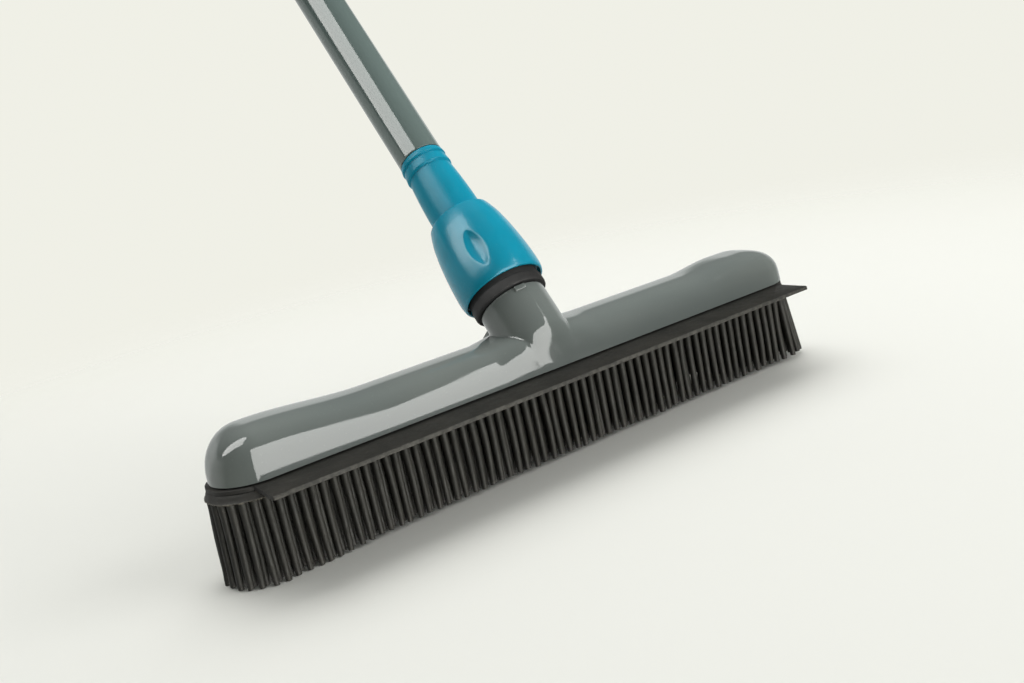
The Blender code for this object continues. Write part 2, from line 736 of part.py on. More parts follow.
def add_strand(shape, root, tip, tip_height):
    """A tapered strand, cut flat at its tip, with a short stub that runs up into the pad."""
    made = bmesh.ops.create_cone(
        shape,
        cap_ends=True,
        segments=STRAND_SIDES,
        radius1=STRAND_TIP_RADIUS,
        radius2=STRAND_BASE_RADIUS,
        depth=PAD_BOTTOM - tip_height,
    )
    for vertex in made["verts"]:
        at_root = vertex.co.z > 0
        middle = root if at_root else tip
        vertex.co.x += middle.x
        vertex.co.y += middle.y
        vertex.co.z = PAD_BOTTOM if at_root else tip_height
    faces = {face for vertex in made["verts"] for face in vertex.link_faces}
    roof = [face for face in faces if all(corner.co.z > STRAND_LENGTH / 2 for corner in face.verts)]
    grown = bmesh.ops.extrude_face_region(shape, geom=roof)
    for element in grown["geom"]:
        if isinstance(element, bmesh.types.BMVert):
            element.co.z = PAD_BOTTOM + STRAND_ROOT_DEPTH
    bmesh.ops.delete(shape, geom=roof, context="FACES_ONLY")


def slice_outline(start, end):
    """The pad's outline between two places along it."""
    radius = PAD_DEPTH / 2
    straight = PAD_LENGTH / 2 - radius
    loop = []
    if end > straight:
        loop += arc((straight, 0), radius, -HALF_TURN / 2, HALF_TURN / 2, ARC_STEPS)
    else:
        loop += [(end, -radius), (end, radius)]
    if start < -straight:
        loop += arc((-straight, 0), radius, HALF_TURN / 2, HALF_TURN * 3 / 2, ARC_STEPS)
    else:
        loop += [(start, radius), (start, -radius)]
    return loop


def make_strand_blocks():
    """Slices of the rubber pad, each with its own strands moulded on."""
    chance = random.Random(STRAND_SEED)
    strands = [(root, *strand_tip(root, chance)) for root in strand_places()]
    edges = [-PAD_LENGTH / 2] + slice_edges() + [PAD_LENGTH / 2]
    for index, (start, end) in enumerate(zip(edges, edges[1:]), 1):
        low = start + SEAT_GAP / 2 if index > 1 else start
        high = end - SEAT_GAP / 2 if index < PAD_SLICES else end
        pad = outline_mesh([slice_outline(low, high)], PAD_BOTTOM, PAD_TOP)
        block = add_part(f"strand_block_{index}", pad, black_rubber(f"strand rubber {index}"))
        inside = [strand for strand in strands if start < strand[0].x < end]

        def build(shape):
            for root, tip, tip_height in inside:
                add_strand(shape, root, tip, tip_height)

        join(block, add_tool(f"strand_form_{index}", mesh_from(build)))


def lug_mesh(inner, outer, bottom, top):
    """One bayonet lug, standing out along X."""
    size = (outer - inner, LUG_WIDTH, top - bottom)
    return box_mesh(size, ((inner + outer) / 2, 0, (bottom + top) / 2))


def place_round(target, name, mesh, count, first_angle, parent, action):
    """Cut or join copies of a shape, evenly spaced about the parent's Z axis."""
    for index in range(count):
        tool = add_tool(f"{name}_{index + 1}", mesh, parent)
        tool.rotation_euler = (0, 0, first_angle + FULL_TURN * index / count)
        action(target, tool)


def make_socket_bush(neck_axis):
    """The black bush: a tube in the neck, a flange on its rim and a spigot with bayonet lugs."""
    lip_top = FLANGE_BOTTOM + FLANGE_LIP
    waist = FLANGE_FOOT_RADIUS - RUNNING_GAP
    profile = [
        (BUSH_SPIGOT_RADIUS, BUSH_TOP),
        (BUSH_SPIGOT_RADIUS, FLANGE_TOP),
        (FLANGE_TOP_RADIUS, FLANGE_TOP),
        (FLANGE_TOP_RADIUS, FLANGE_TOP - FLANGE_LIP),
        (FLANGE_FOOT_RADIUS + RUNNING_GAP, lip_top + RUNNING_GAP),
        (waist, lip_top),
        (FLANGE_FOOT_RADIUS, lip_top - RUNNING_GAP),
        (FLANGE_FOOT_RADIUS, FLANGE_BOTTOM),
        (BUSH_RADIUS, FLANGE_BOTTOM),
        (BUSH_RADIUS, BUSH_BOTTOM),
        (BUSH_BORE, BUSH_BOTTOM),
        (BUSH_BORE, BUSH_TOP),
    ]
    material = black_plastic("bush black")
    bush = turned_part("socket_bush", profile, material, neck_axis, COLLAR_STEPS)
    lug_inner = (BUSH_BORE + BUSH_SPIGOT_RADIUS) / 2
    lug = lug_mesh(lug_inner, BUSH_SPIGOT_RADIUS + LUG_REACH, BUSH_LUG_BOTTOM, BUSH_LUG_TOP)
    place_round(bush, "bush_lug_form", lug, LUG_COUNT, 0.0, neck_axis, join)


def make_lock_collar(neck_axis):
    """The collar: barrel outside with finger dimples, stepped bore with bayonet lugs inside."""
    axis = add_axis("collar_axis", neck_axis)
    lug_corner = math.hypot(BUSH_SPIGOT_RADIUS + LUG_REACH, LUG_WIDTH / 2)
    wide_bore = lug_corner + RUNNING_GAP
    middle_bore = ADAPTER_FLANGE_RADIUS + RUNNING_GAP
    narrow_bore = SLEEVE_BOTTOM_RADIUS + SEAT_GAP
    profile = scaled_profile(
        COLLAR_HEIGHT_SHARES, COLLAR_RADIUS_SHARES, COLLAR_BOTTOM, COLLAR_LENGTH, COLLAR_RADIUS
    )
    profile += [
        (wide_bore, COLLAR_BOTTOM),
        (wide_bore, BUSH_TOP),
        (middle_bore, BUSH_TOP),
        (middle_bore, COLLAR_STEP),
        (narrow_bore, COLLAR_STEP),
        (narrow_bore, COLLAR_TOP),
    ]
    material = teal_plastic("collar teal")
    collar = turned_part("lock_collar", profile, material, axis, COLLAR_STEPS)
    lug_bottom = COLLAR_LUG_TOP - COLLAR_LUG_HEIGHT
    lug_inner = BUSH_SPIGOT_RADIUS + RUNNING_GAP
    lug = lug_mesh(lug_inner, wide_bore + RUNNING_GAP, lug_bottom, COLLAR_LUG_TOP)
    place_round(collar, "collar_lug_form", lug, LUG_COUNT, 0.0, axis, join)
    place_round(
        collar, "dimple_form", dimple_mesh(), DIMPLE_COUNT, DIMPLE_ANGLE, axis, cut
    )


def dimple_mesh():
    """A long ellipsoid that bites into the collar's side where the dimple lies."""
    surface = COLLAR_RADIUS * COLLAR_RADIUS_SHARES[3]
    height = COLLAR_BOTTOM + COLLAR_LENGTH * DIMPLE_HEIGHT_SHARE
    half_width = DIMPLE_WIDTH / 2
    centre = Matrix.Translation((surface + half_width - DIMPLE_DEPTH, 0, height))
    stretch = Matrix.Diagonal((half_width, half_width, DIMPLE_LENGTH / 2, 1.0))
    tilt = Matrix.Rotation(dimple_tilt(), 4, "Y")

    def build(shape):
        bmesh.ops.create_uvsphere(
            shape,
            u_segments=SMALL_STEPS,
            v_segments=SMALL_STEPS,
            radius=1.0,
            matrix=centre @ tilt @ stretch,
        )

    return mesh_from(build)


def dimple_tilt():
    """The lean of the collar's side where the dimple lies."""
    fall = COLLAR_RADIUS * (COLLAR_RADIUS_SHARES[2] - COLLAR_RADIUS_SHARES[4])
    rise = COLLAR_LENGTH * (COLLAR_HEIGHT_SHARES[4] - COLLAR_HEIGHT_SHARES[2])
    return -math.atan2(fall, rise)


def make_tension_washer(neck_axis):
    """The rubber washer between the bush and the adapter's flange."""
    outer = BUSH_SPIGOT_RADIUS - WASHER_RIM
    bore = ADAPTER_SPIGOT_RADIUS + SEAT_GAP
    profile = ring_profile(outer, bore, WASHER_BOTTOM, WASHER_TOP)
    material = black_rubber("washer rubber")
    turned_part("tension_washer", profile, material, neck_axis, POLE_STEPS)


def make_pole_adapter(neck_axis):
    """The teal adapter: spigot and flange inside the collar, sleeve, two rings and a tube spigot."""
    tube_spigot = LOWER_TUBE_BORE - SEAT_GAP
    groove = UPPER_RING_RADIUS - RING_GROOVE_DEPTH
    profile = [
        (tube_spigot, ADAPTER_TOP),
        (tube_spigot, UPPER_RING_TOP),
        (UPPER_RING_RADIUS - RING_GROOVE_DEPTH, UPPER_RING_TOP),
        (UPPER_RING_RADIUS, UPPER_RING_TOP - RING_GROOVE_HEIGHT),
        (UPPER_RING_RADIUS, UPPER_RING_BOTTOM + RING_GROOVE_HEIGHT),
        (groove, UPPER_RING_BOTTOM),
        (groove, LOWER_RING_TOP),
        (LOWER_RING_RADIUS, LOWER_RING_TOP - RING_GROOVE_HEIGHT),
        (LOWER_RING_RADIUS, SLEEVE_TOP),
        (SLEEVE_TOP_RADIUS, SLEEVE_TOP),
        (SLEEVE_BOTTOM_RADIUS, COLLAR_TOP),
        (SLEEVE_BOTTOM_RADIUS, ADAPTER_FLANGE_TOP),
        (ADAPTER_FLANGE_RADIUS, ADAPTER_FLANGE_TOP),
        (ADAPTER_FLANGE_RADIUS, ADAPTER_FLANGE_BOTTOM),
        (ADAPTER_SPIGOT_RADIUS, ADAPTER_FLANGE_BOTTOM),
        (ADAPTER_SPIGOT_RADIUS, BUSH_BOTTOM),
        (ADAPTER_BORE, BUSH_BOTTOM),
        (ADAPTER_BORE, ADAPTER_TOP),
    ]
    material = teal_plastic("adapter teal")
    turned_part("pole_adapter", profile, material, neck_axis, COLLAR_STEPS)


def make_lower_pole(neck_axis):
    """The lower tube and the guide bush pressed in its top."""
    tube = ring_profile(LOWER_TUBE_RADIUS, LOWER_TUBE_BORE, LOWER_TUBE_BOTTOM, LOWER_TUBE_TOP)
    turned_part("lower_tube", tube, painted_tube("lower tube paint"), neck_axis)
    spigot = LOWER_TUBE_BORE - SEAT_GAP
    bore = UPPER_TUBE_RADIUS + SEAT_GAP
    guide = [
        (GUIDE_HEAD_RADIUS - GUIDE_EDGE, GUIDE_TOP),
        (GUIDE_HEAD_RADIUS, GUIDE_TOP - GUIDE_EDGE),
        (GUIDE_HEAD_RADIUS, GUIDE_BOTTOM + GUIDE_EDGE),
        (GUIDE_HEAD_RADIUS - GUIDE_EDGE, GUIDE_BOTTOM),
        (spigot, GUIDE_BOTTOM),
        (spigot, GUIDE_BOTTOM - GUIDE_SPIGOT_LENGTH),
        (bore, GUIDE_BOTTOM - GUIDE_SPIGOT_LENGTH),
        (bore, GUIDE_TOP),
    ]
    turned_part("guide_bush", guide, teal_plastic("guide teal"), neck_axis)


def make_twist_lock(slide_axis, upper_axis):
    """The split sleeve that stays put in the lower tube, and the off-centre plug that turns in it."""
    sleeve_bottom = CAM_JOURNAL_BOTTOM + SEAT_GAP
    sleeve_top = CAM_JOURNAL_TOP - SEAT_GAP
    sleeve_radius = LOWER_TUBE_BORE - SEAT_GAP
    sleeve_bore = CAM_JOURNAL_RADIUS + CAM_OFFSET + SEAT_GAP
    profile = ring_profile(sleeve_radius, sleeve_bore, sleeve_bottom, sleeve_top)
    sleeve = turned_part("cam_sleeve", profile, pale_plastic("cam sleeve pale"), slide_axis)
    slot_size = (LOWER_TUBE_RADIUS, CAM_SLOT_WIDTH, CAM_JOURNAL_LENGTH + 2 * CUT_OVERRUN)
    slot_centre = (-LOWER_TUBE_RADIUS, 0, (CAM_JOURNAL_BOTTOM + CAM_JOURNAL_TOP) / 2)
    cut(sleeve, add_tool("cam_slot_form", box_mesh(slot_size, slot_centre), slide_axis))

    spigot = UPPER_TUBE_BORE - SEAT_GAP
    spigot_top = CAM_SHOULDER_TOP + CAM_SPIGOT_LENGTH
    shoulder = [
        (0, spigot_top),
        (spigot, spigot_top),
        (spigot, CAM_SHOULDER_TOP),
        (UPPER_TUBE_RADIUS, CAM_SHOULDER_TOP),
        (UPPER_TUBE_RADIUS, CAM_JOURNAL_TOP),
        (0, CAM_JOURNAL_TOP),
    ]
    material = pale_plastic("cam plug pale")
    plug = turned_part("cam_plug", shoulder, material, upper_axis, POLE_STEPS, False)
    journal_bottom = CAM_JOURNAL_BOTTOM - CAM_FLANGE_HEIGHT / 2
    journal_top = CAM_JOURNAL_TOP + CAM_SHOULDER_HEIGHT / 2
    journal_centre = (CAM_OFFSET, 0.0)
    journal = rod_mesh(
        CAM_JOURNAL_RADIUS, journal_bottom, journal_top, journal_centre, POLE_STEPS
    )
    join(plug, add_tool("cam_journal_form", journal, upper_axis))
    flange = rod_mesh(
        UPPER_TUBE_RADIUS, CAM_FLANGE_BOTTOM, CAM_JOURNAL_BOTTOM, (0.0, 0.0), POLE_STEPS
    )
    join(plug, add_tool("cam_flange_form", flange, upper_axis))


def make_upper_pole(upper_axis):
    """The telescopic tube, its grip and its cap."""
    tube = ring_profile(UPPER_TUBE_RADIUS, UPPER_TUBE_BORE, UPPER_TUBE_BOTTOM, UPPER_TUBE_TOP)
    turned_part("upper_tube", tube, painted_tube("upper tube paint"), upper_axis)
    grip_bore = UPPER_TUBE_RADIUS + SEAT_GAP
    grip = scaled_profile(
        GRIP_HEIGHT_SHARES, GRIP_RADIUS_SHARES, GRIP_BOTTOM, GRIP_LENGTH, GRIP_RADIUS
    )
    grip += [(grip_bore, GRIP_BOTTOM), (grip_bore, GRIP_TOP)]
    turned_part("hand_grip", grip, black_rubber("grip rubber"), upper_axis)
    make_hanging_cap(upper_axis)


def make_hanging_cap(upper_axis):
    """The teal end cap: a plug in the tube, a round rim and a flat eye to hang the broom by."""
    plug_radius = UPPER_TUBE_BORE - SEAT_GAP
    profile = [
        (0, CAP_RIM_TOP),
        (CAP_RADIUS - CAP_EDGE, CAP_RIM_TOP),
        (CAP_RADIUS, CAP_RIM_TOP - CAP_EDGE),
        (CAP_RADIUS, CAP_BOTTOM),
        (plug_radius, CAP_BOTTOM),
        (plug_radius, CAP_BOTTOM - CAP_PLUG_LENGTH),
        (0, CAP_BOTTOM - CAP_PLUG_LENGTH),
    ]
    material = teal_plastic("cap teal")
    cap = turned_part("hanging_cap", profile, material, upper_axis, POLE_STEPS, False)
    half_width = EYE_WIDTH / 2
    eye_bottom = CAP_RIM_TOP - CAP_RIM_HEIGHT / 2
    hole_height = CAP_RIM_TOP + EYE_HEIGHT - half_width
    outer = arc((0, hole_height), half_width, 0, HALF_TURN, ARC_STEPS)
    outer += [(-half_width, eye_bottom), (half_width, eye_bottom)]
    hole = arc((0, hole_height), EYE_HOLE_RADIUS, 0, FULL_TURN, SMALL_STEPS)[:-1]
    eye_mesh = outline_mesh([outer, hole], -EYE_THICKNESS / 2, EYE_THICKNESS / 2)
    eye = add_tool("eye_form", eye_mesh, upper_axis)
    eye.rotation_euler = Euler((HALF_TURN / 2, 0, HALF_TURN / 2))
    join(cap, eye)


def shade_round_parts():
    """Smooth shading with sharp edges kept, on the pieces that have faces of their own."""
    for obj in PARTS.objects:
        if obj.type == "MESH" and obj.data.polygons:
            obj.data.shade_smooth()
            obj.data.set_sharp_from_angle(angle=HALF_TURN / 5)


clear_scene()
PARTS = make_collection("rubber_broom")
CUTTERS = make_collection("cutters")
CUTTERS.hide_render = True
neck_centre = (NECK_ROOT_SIDE, NECK_ROOT_BACK, HOUSING_BASE + NECK_ROOT_RISE)
neck_axis = add_axis("neck_axis", None, neck_centre, POLE_LEAN)
slide_axis = add_axis("telescope_axis", neck_axis)
upper_axis = add_axis("upper_pole_axis", slide_axis)
make_housing(neck_axis)
make_base_plate()
make_plate_screws()
make_rubber_sheet()
make_strand_blocks()
make_socket_bush(neck_axis)
make_lock_collar(neck_axis)
make_tension_washer(neck_axis)
make_pole_adapter(neck_axis)
make_lower_pole(neck_axis)
make_twist_lock(slide_axis, upper_axis)
make_upper_pole(upper_axis)
shade_round_parts()
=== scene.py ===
"""Looks of the rubber broom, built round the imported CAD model.

Metres, +Z up, in the CAD model's own frame. X runs along the head, the lip points to -Y and the
pole leans back to +Y. The corners of profiles about the pole's axis are given in millimetres.
"""

import math
import random
from contextlib import contextmanager

import bmesh
import bpy
import numpy as np
from mathutils import Matrix, Vector, noise
from mathutils.bvhtree import BVHTree


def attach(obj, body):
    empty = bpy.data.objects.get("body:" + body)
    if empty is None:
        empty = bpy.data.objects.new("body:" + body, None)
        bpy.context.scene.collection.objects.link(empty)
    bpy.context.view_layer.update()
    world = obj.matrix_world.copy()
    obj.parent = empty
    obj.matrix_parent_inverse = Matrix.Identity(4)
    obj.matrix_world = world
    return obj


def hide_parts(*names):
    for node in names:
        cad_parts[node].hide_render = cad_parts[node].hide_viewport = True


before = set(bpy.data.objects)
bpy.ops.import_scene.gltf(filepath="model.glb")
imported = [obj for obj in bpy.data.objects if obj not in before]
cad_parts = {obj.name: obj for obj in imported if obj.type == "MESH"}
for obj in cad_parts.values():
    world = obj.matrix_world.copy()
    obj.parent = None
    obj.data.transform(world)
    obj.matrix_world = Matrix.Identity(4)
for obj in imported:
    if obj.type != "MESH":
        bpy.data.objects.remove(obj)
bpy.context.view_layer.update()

MM = 0.001
FULL_TURN = math.tau
HALF_TURN = math.pi
QUARTER_TURN = math.pi / 2

# Picture and camera
PICTURE_WIDTH = 1024
PICTURE_HEIGHT = 683
FOCAL_PIXELS = 1069.2
CENTRE_PIXEL = (510.84, 331.65)
CAMERA_TURN = math.radians(-30.49)
CAMERA_HEIGHT = math.radians(12.40)
CAMERA_ROLL = math.radians(-12.31)
CAMERA_DISTANCE = 495.8 * MM
CAMERA_OFFSET = (-6.16 * MM, -1.39 * MM)
CAMERA_AIM = Vector((0, 0, 60 * MM))
SENSOR_WIDTH = 36.0

# Studio
FLOOR_COLOUR = (0.735, 0.735, 0.69, 1.0)
FLOOR_RADIUS = 6.0
FLOOR_FADE = (0.25, 0.9)
BACKDROP_COLOUR = (0.87, 0.87, 0.795, 1.0)
ROOM_COLOUR = (0.95, 0.97, 0.95, 1)
CARD_COLOUR = (1.0, 1.0, 0.97, 1.0)
CARD_REACH = 2.5

# Corners of the cards that the gloss shows, as degrees turned from -Y and degrees above the floor
FRONT_CARD = [(-22, -50), (-22, 33), (24, 31), (30, 37), (43, 50), (56, 50), (45, 41), (37, 33)]
FRONT_CARD += [(34, 25), (30.5, -7), (31.5, -14.4), (33, -50)]
LEFT_CARD = [(-121, 33), (-114, 24), (-101, 31), (-91, 39), (-80, 47), (-67, 54), (-57, 57)]
LEFT_CARD += [(-62, 69), (-70, 80), (-130, 80)]

# Materials
NOISE_LOW = 0.3
NOISE_HIGH = 0.7
SPECK_EDGE = 0.08
MIX_SHARE, MIX_FIRST, MIX_SECOND, MIX_RESULT = 0, 6, 7, 2

# Head
HOUSING_HALF = 157.1 * MM
HOUSING_DEPTH_HALF = 19.4 * MM
HOUSING_BASE = 42.45 * MM
MIDDLE_CROWN = 17.0 * MM
# Each end's half length, crown, rise, flat top and nose length, and the nose's exponent
LEFT_END = (157.1 * MM, 20.15 * MM, 52.8 * MM, 3.85 * MM, 18.8 * MM, 2.02)
RIGHT_END = (158.2 * MM, 19.2 * MM, 30.0 * MM, 8.5 * MM, 24.0 * MM, 2.1)
PLAIN_STATIONS = 44
RISE_STATIONS = 40
NOSE_STATIONS = 60
SECTION_STEPS = 96
SECTION_EXPONENTS = (2.7, 3.2)
DRAFT_SLOPE = 0.075
DRAFT_HEIGHT = 8.0 * MM
LEAST_DEPTH = 0.9
SKIRT = 3.0 * MM
REBATE_WALL = 1.8 * MM
REBATE_HEIGHT = 2.8 * MM
VOXEL = 0.6 * MM
FILLET = 0.8 * MM
MIDDLE_ZONE = 45.0 * MM
SETTLE_STEPS = 6
SKIN_REACH = 0.05 * MM
LEAST_FACING = 0.8
SCREW_PLACES = (-120 * MM, -50 * MM, 50 * MM, 120 * MM)
PILOT_RADIUS = 1.95 * MM
PILOT_TOP = 55.7 * MM

# Rubber
PAD_HALF = 160.0 * MM
PAD_RADIUS = 19.7 * MM
PAD_STRAIGHT = PAD_HALF - PAD_RADIUS
PAD_BOTTOM = 36.2 * MM
SHEET_BOTTOM = 39.8 * MM
SHEET_TOP = 41.65 * MM
SHEET_RADIUS = 18.4 * MM
SHEET_EDGE = 0.22 * MM
LIP_HALF = 145.25 * MM
LIP_PROJECTION = 19.0 * MM
LIP_CORNER = 0.8 * MM
STRAND_PITCH = 4.72 * MM
STRAND_ROW = 2.9 * MM
STRAND_RINGS = 6
STRAND_TOP = PAD_BOTTOM + 0.5 * MM
STRAND_BASE = 1.72 * MM
STRAND_TIP = 1.36 * MM
ROOT_FLARE = 1.12
LEFT_SPLAY = 2.8 * MM
RIGHT_SPLAY = 6.2 * MM
STRAND_SIDES = 10
STRAND_LEVELS = 6
STRAND_SEED = 11
# The tips lift off the floor by TIP_LIFT, from LIFT_START on, over a length of LIFT_LENGTH
TIP_LIFT = 2.1 * MM
LIFT_START = -128 * MM
LIFT_LENGTH = 34 * MM

# Pole line, from the centre of the neck's root
NECK_CENTRE = Vector((2.3 * MM, -2.2 * MM, 56.4 * MM))
NECK_LEAN = math.radians(38.5)
NECK_RADIUS = 16.8 * MM
NECK_TOP = 18.7 * MM
ROOT_DROP = 3.7 * MM
ROOT_STRETCH = 1.29
FRONT_BLEND = 3.5 * MM
SADDLE_CROWN = 17.9 * MM
SADDLE_EXPONENT = 3.8
SADDLE_INNER = 12.0 * MM
SADDLE_OUTER = 30.0 * MM
NECK_EDGE = 0.6 * MM
BORE_RADIUS = 14.9 * MM
BORE_BOTTOM = -1.5 * MM
NECK = Matrix.Translation(NECK_CENTRE) @ Matrix.Rotation(-NECK_LEAN, 4, "X")
NECK_AXIS = NECK.to_3x3() @ Vector((0, 0, 1))
# How near to the axis a solid piece's profile comes, in millimetres
AXIS_GAP = 0.01

# Finger dimples in the collar
DIMPLE_HALF_LENGTH = 11.6 * MM
DIMPLE_HALF_WIDTH = 4.5 * MM
DIMPLE_DEPTH = 1.6 * MM
DIMPLE_CREASE = 0.9 * MM
DIMPLE_SOFTNESS = 0.4 * MM
DIMPLE_HEIGHT = 43.7 * MM
DIMPLE_TURN = math.radians(236.4)
DIMPLE_LEAN = math.atan2(1.45, 19.0)

# Hanging eye
EYE_CENTRE = 921.5 * MM
EYE_FOOT = 900.0 * MM
EYE_RADIUS = 12.5 * MM
EYE_HOLE = 7.8 * MM
EYE_EDGE = 1.2 * MM
EYE_HALF_THICKNESS = 2.8 * MM


def linear(red, green, blue, shade=1.0):
    """A display colour, 0 to 255, as linear light by the sRGB formula, shaded, with full alpha."""
    shares = [value / 255 for value in (red, green, blue)]
    light = [s / 12.92 if s <= 0.04045 else ((s + 0.055) / 1.055) ** 2.4 for s in shares]
    return (*(channel * shade for channel in light), 1.0)


class Nodes:
    """A node tree under construction: its nodes are added one at a time."""

    def __init__(self, tree):
        self.tree = tree

    def node(self, kind, inputs=None, **settings):
        """A new node with its settings and its inputs' values or links."""
        made = self.tree.nodes.new(kind)
        for name, value in settings.items():
            setattr(made, name, value)
        for name, value in (inputs or {}).items():
            self.set(made.inputs[name], value)
        return made

    def set(self, socket, value):
        """Link a socket to another one, or give it a value."""
        if isinstance(value, bpy.types.NodeSocket):
            self.tree.links.new(value, socket)
        else:
            socket.default_value = value

    def band(self, value, low, high, start=0.0, end=1.0, smooth=False):
        """Map a number from one range to another, held at both ends."""
        names = ("Value", "From Min", "From Max", "To Min", "To Max")
        inputs = dict(zip(names, (value, low, high, start, end)))
        kind = "SMOOTHSTEP" if smooth else "LINEAR"
        made = self.node("ShaderNodeMapRange", inputs, interpolation_type=kind)
        return made.outputs["Result"]

    def math(self, operation, *values):
        """A sum or product of numbers."""
        made = self.node("ShaderNodeMath", dict(enumerate(values)), operation=operation)
        return made.outputs["Value"]


class Finish(Nodes):
    """A material under construction."""

    def __init__(self, name):
        self.material = bpy.data.materials.new(name)
        self.material.use_nodes = True
        super().__init__(self.material.node_tree)
        self.shader = self.tree.nodes["Principled BSDF"]
        self.place = self.node("ShaderNodeTexCoord").outputs["Object"]

    def surface(self, **values):
        """Set the shader's sockets, with underscores for spaces. Returns the material."""
        for name, value in values.items():
            self.set(self.shader.inputs[name.replace("_", " ")], value)
        return self.material

    def stretched(self, scale, turn=(0, 0, 0)):
        """Places in the object, turned and scaled along each axis."""
        inputs = {"Vector": self.place, "Scale": scale, "Rotation": turn}
        return self.node("ShaderNodeMapping", inputs).outputs["Vector"]

    def noise(self, scale, detail=3, roughness=0.6, vector=None):
        """A number that wanders from place to place."""
        inputs = {"Vector": vector or self.place, "Scale": scale, "Detail": detail, "Roughness": roughness}
        return self.node("ShaderNodeTexNoise", inputs).outputs["Fac"]

    def spread(self, value, start=0.0, end=1.0):
        """Map a noise's usual values to a range."""
        return self.band(value, NOISE_LOW, NOISE_HIGH, start, end)

    def blend(self, share, first, second):
        """A colour between two others."""
        inputs = {MIX_SHARE: share, MIX_FIRST: first, MIX_SECOND: second}
        return self.node("ShaderNodeMix", inputs, data_type="RGBA").outputs[MIX_RESULT]

    def specks(self, base, scale, low, amount, colour):
        """Sparse specks of another colour over a base."""
        share = self.band(self.noise(scale, 2), low, low + SPECK_EDGE, 0, amount)
        return self.blend(share, base, colour)

    def bump(self, height, distance, strength, normal=None):
        """Surface directions tilted by a height, on top of others where they are given."""
        inputs = {"Height": height, "Distance": distance, "Strength": strength}
        if normal is not None:
            inputs["Normal"] = normal
        return self.node("ShaderNodeBump", inputs).outputs["Normal"]


def grey_plastic():
    """Glossy moulded plastic with faint flow marks and a few pale scratches."""
    look = Finish("housing grey")
    flow = look.noise(35, 2, 0.5, look.stretched((0.35, 1, 1)))
    base = look.blend(look.spread(flow), linear(106, 113, 110), linear(116, 122, 118))
    base = look.specks(base, 900, 0.66, 0.12, linear(160, 165, 160))
    turn = tuple(math.radians(angle) for angle in (14, 8, 22))
    streaks = look.noise(60, 2, 0.5, look.stretched((22, 3, 0.6), turn))
    few = look.noise(26, 1, 0.5)
    marks = look.math("MULTIPLY", look.band(streaks, 0.70, 0.74), look.band(few, 0.56, 0.66))
    base = look.blend(look.math("MULTIPLY", marks, 0.16), base, linear(190, 196, 190))
    roughness = look.math("MULTIPLY_ADD", marks, 0.2, look.spread(look.noise(140), 0.05, 0.09))
    soft = look.bump(look.noise(22, 1, 0.4), 0.9 * MM, 0.05)
    fine = look.bump(look.noise(1500, 2, 0.5), 0.01 * MM, 0.15, soft)
    return look.surface(Base_Color=base, Roughness=roughness, Normal=fine)


def teal_plastic(name, rough, gloss):
    """Satin moulded plastic with a fine grain."""
    look = Finish(name)
    flow = look.spread(look.noise(45, 2, 0.5))
    base = look.blend(flow, linear(2, 140, 167), linear(6, 150, 178))
    base = look.specks(base, 1100, 0.68, 0.14, linear(150, 200, 206))
    roughness = look.spread(look.noise(160), rough, rough + 0.07)
    soft = look.bump(look.noise(60, 1, 0.4), 0.3 * MM, 0.06)
    fine = look.bump(look.noise(2200, 2, 0.5), 0.03 * MM, 0.35, soft)
    look.surface(Base_Color=base, Roughness=roughness, Normal=fine)
    return look.surface(Specular_IOR_Level=gloss)


def rubber(name, shade=1.0, edge=None):
    """Matte black rubber with dust in its pores, and a torn paler band where an edge is given."""
    look = Finish(name)
    cloud = look.spread(look.noise(70))
    base = look.blend(cloud, linear(40, 39, 34, shade), linear(56, 54, 48, shade))
    base = look.specks(base, 1300, 0.66, 0.22, linear(132, 126, 112))
    roughness = look.spread(look.noise(240, 4, 0.65), 0.5, 0.7)
    if edge:
        axis, low, high, colour = edge
        along = look.node("ShaderNodeSeparateXYZ", {0: look.place}).outputs[axis]
        middle = (low + high) / 2
        rising = look.band(along, low, middle)
        falling = look.band(along, middle, high, 1.0, 0.0)
        inside = look.math("MULTIPLY", rising, falling)
        torn = look.band(look.noise(420), 0.42, 0.62, 0.1, 0.75)
        base = look.blend(look.math("MULTIPLY", inside, torn), base, colour)
    grain = look.bump(look.noise(900), 0.09 * MM, 0.5)
    lumps = look.bump(look.noise(160, 2, 0.5), 0.3 * MM, 0.25, grain)
    look.surface(Base_Color=base, Roughness=roughness, Normal=lumps)
    return look.surface(Specular_IOR_Level=0.25)


def plain_plastic(name, low, high, rough):
    """Moulded plastic of two close shades, with a fine grain."""
    look = Finish(name)
    base = look.blend(look.band(look.noise(120), 0.35, 0.65), low, high)
    roughness = look.spread(look.noise(300), rough, rough + 0.12)
    grain = look.bump(look.noise(1400, 2, 0.5), 0.04 * MM, 0.4)
    return look.surface(Base_Color=base, Roughness=roughness, Normal=grain)


def tube_paint():
    """Grey enamel on steel tube, with a little orange peel."""
    look = Finish("tube paint")
    cloud = look.noise(18, 2, 0.5, look.stretched((1, 0.3, 0.3)))
    base = look.blend(look.spread(cloud), linear(101, 116, 112), linear(108, 122, 118))
    base = look.specks(base, 1500, 0.68, 0.15, linear(170, 176, 170))
    roughness = look.spread(look.noise(200), 0.08, 0.12)
    peel = look.bump(look.noise(420, 2, 0.5), 0.02 * MM, 0.12)
    return look.surface(Base_Color=base, Roughness=roughness, Normal=peel)


def zinc():
    """Bright zinc plate on steel, a little cloudy."""
    look = Finish("screw zinc")
    cloud = look.spread(look.noise(300))
    base = look.blend(cloud, linear(178, 178, 176), linear(204, 203, 198))
    roughness = look.spread(look.noise(700), 0.28, 0.42)
    return look.surface(Base_Color=base, Roughness=roughness, Metallic=1.0)


def linked(name, data):
    """A new object that holds the data, linked to the scene."""
    made = bpy.data.objects.new(name, data)
    bpy.context.scene.collection.objects.link(made)
    return made


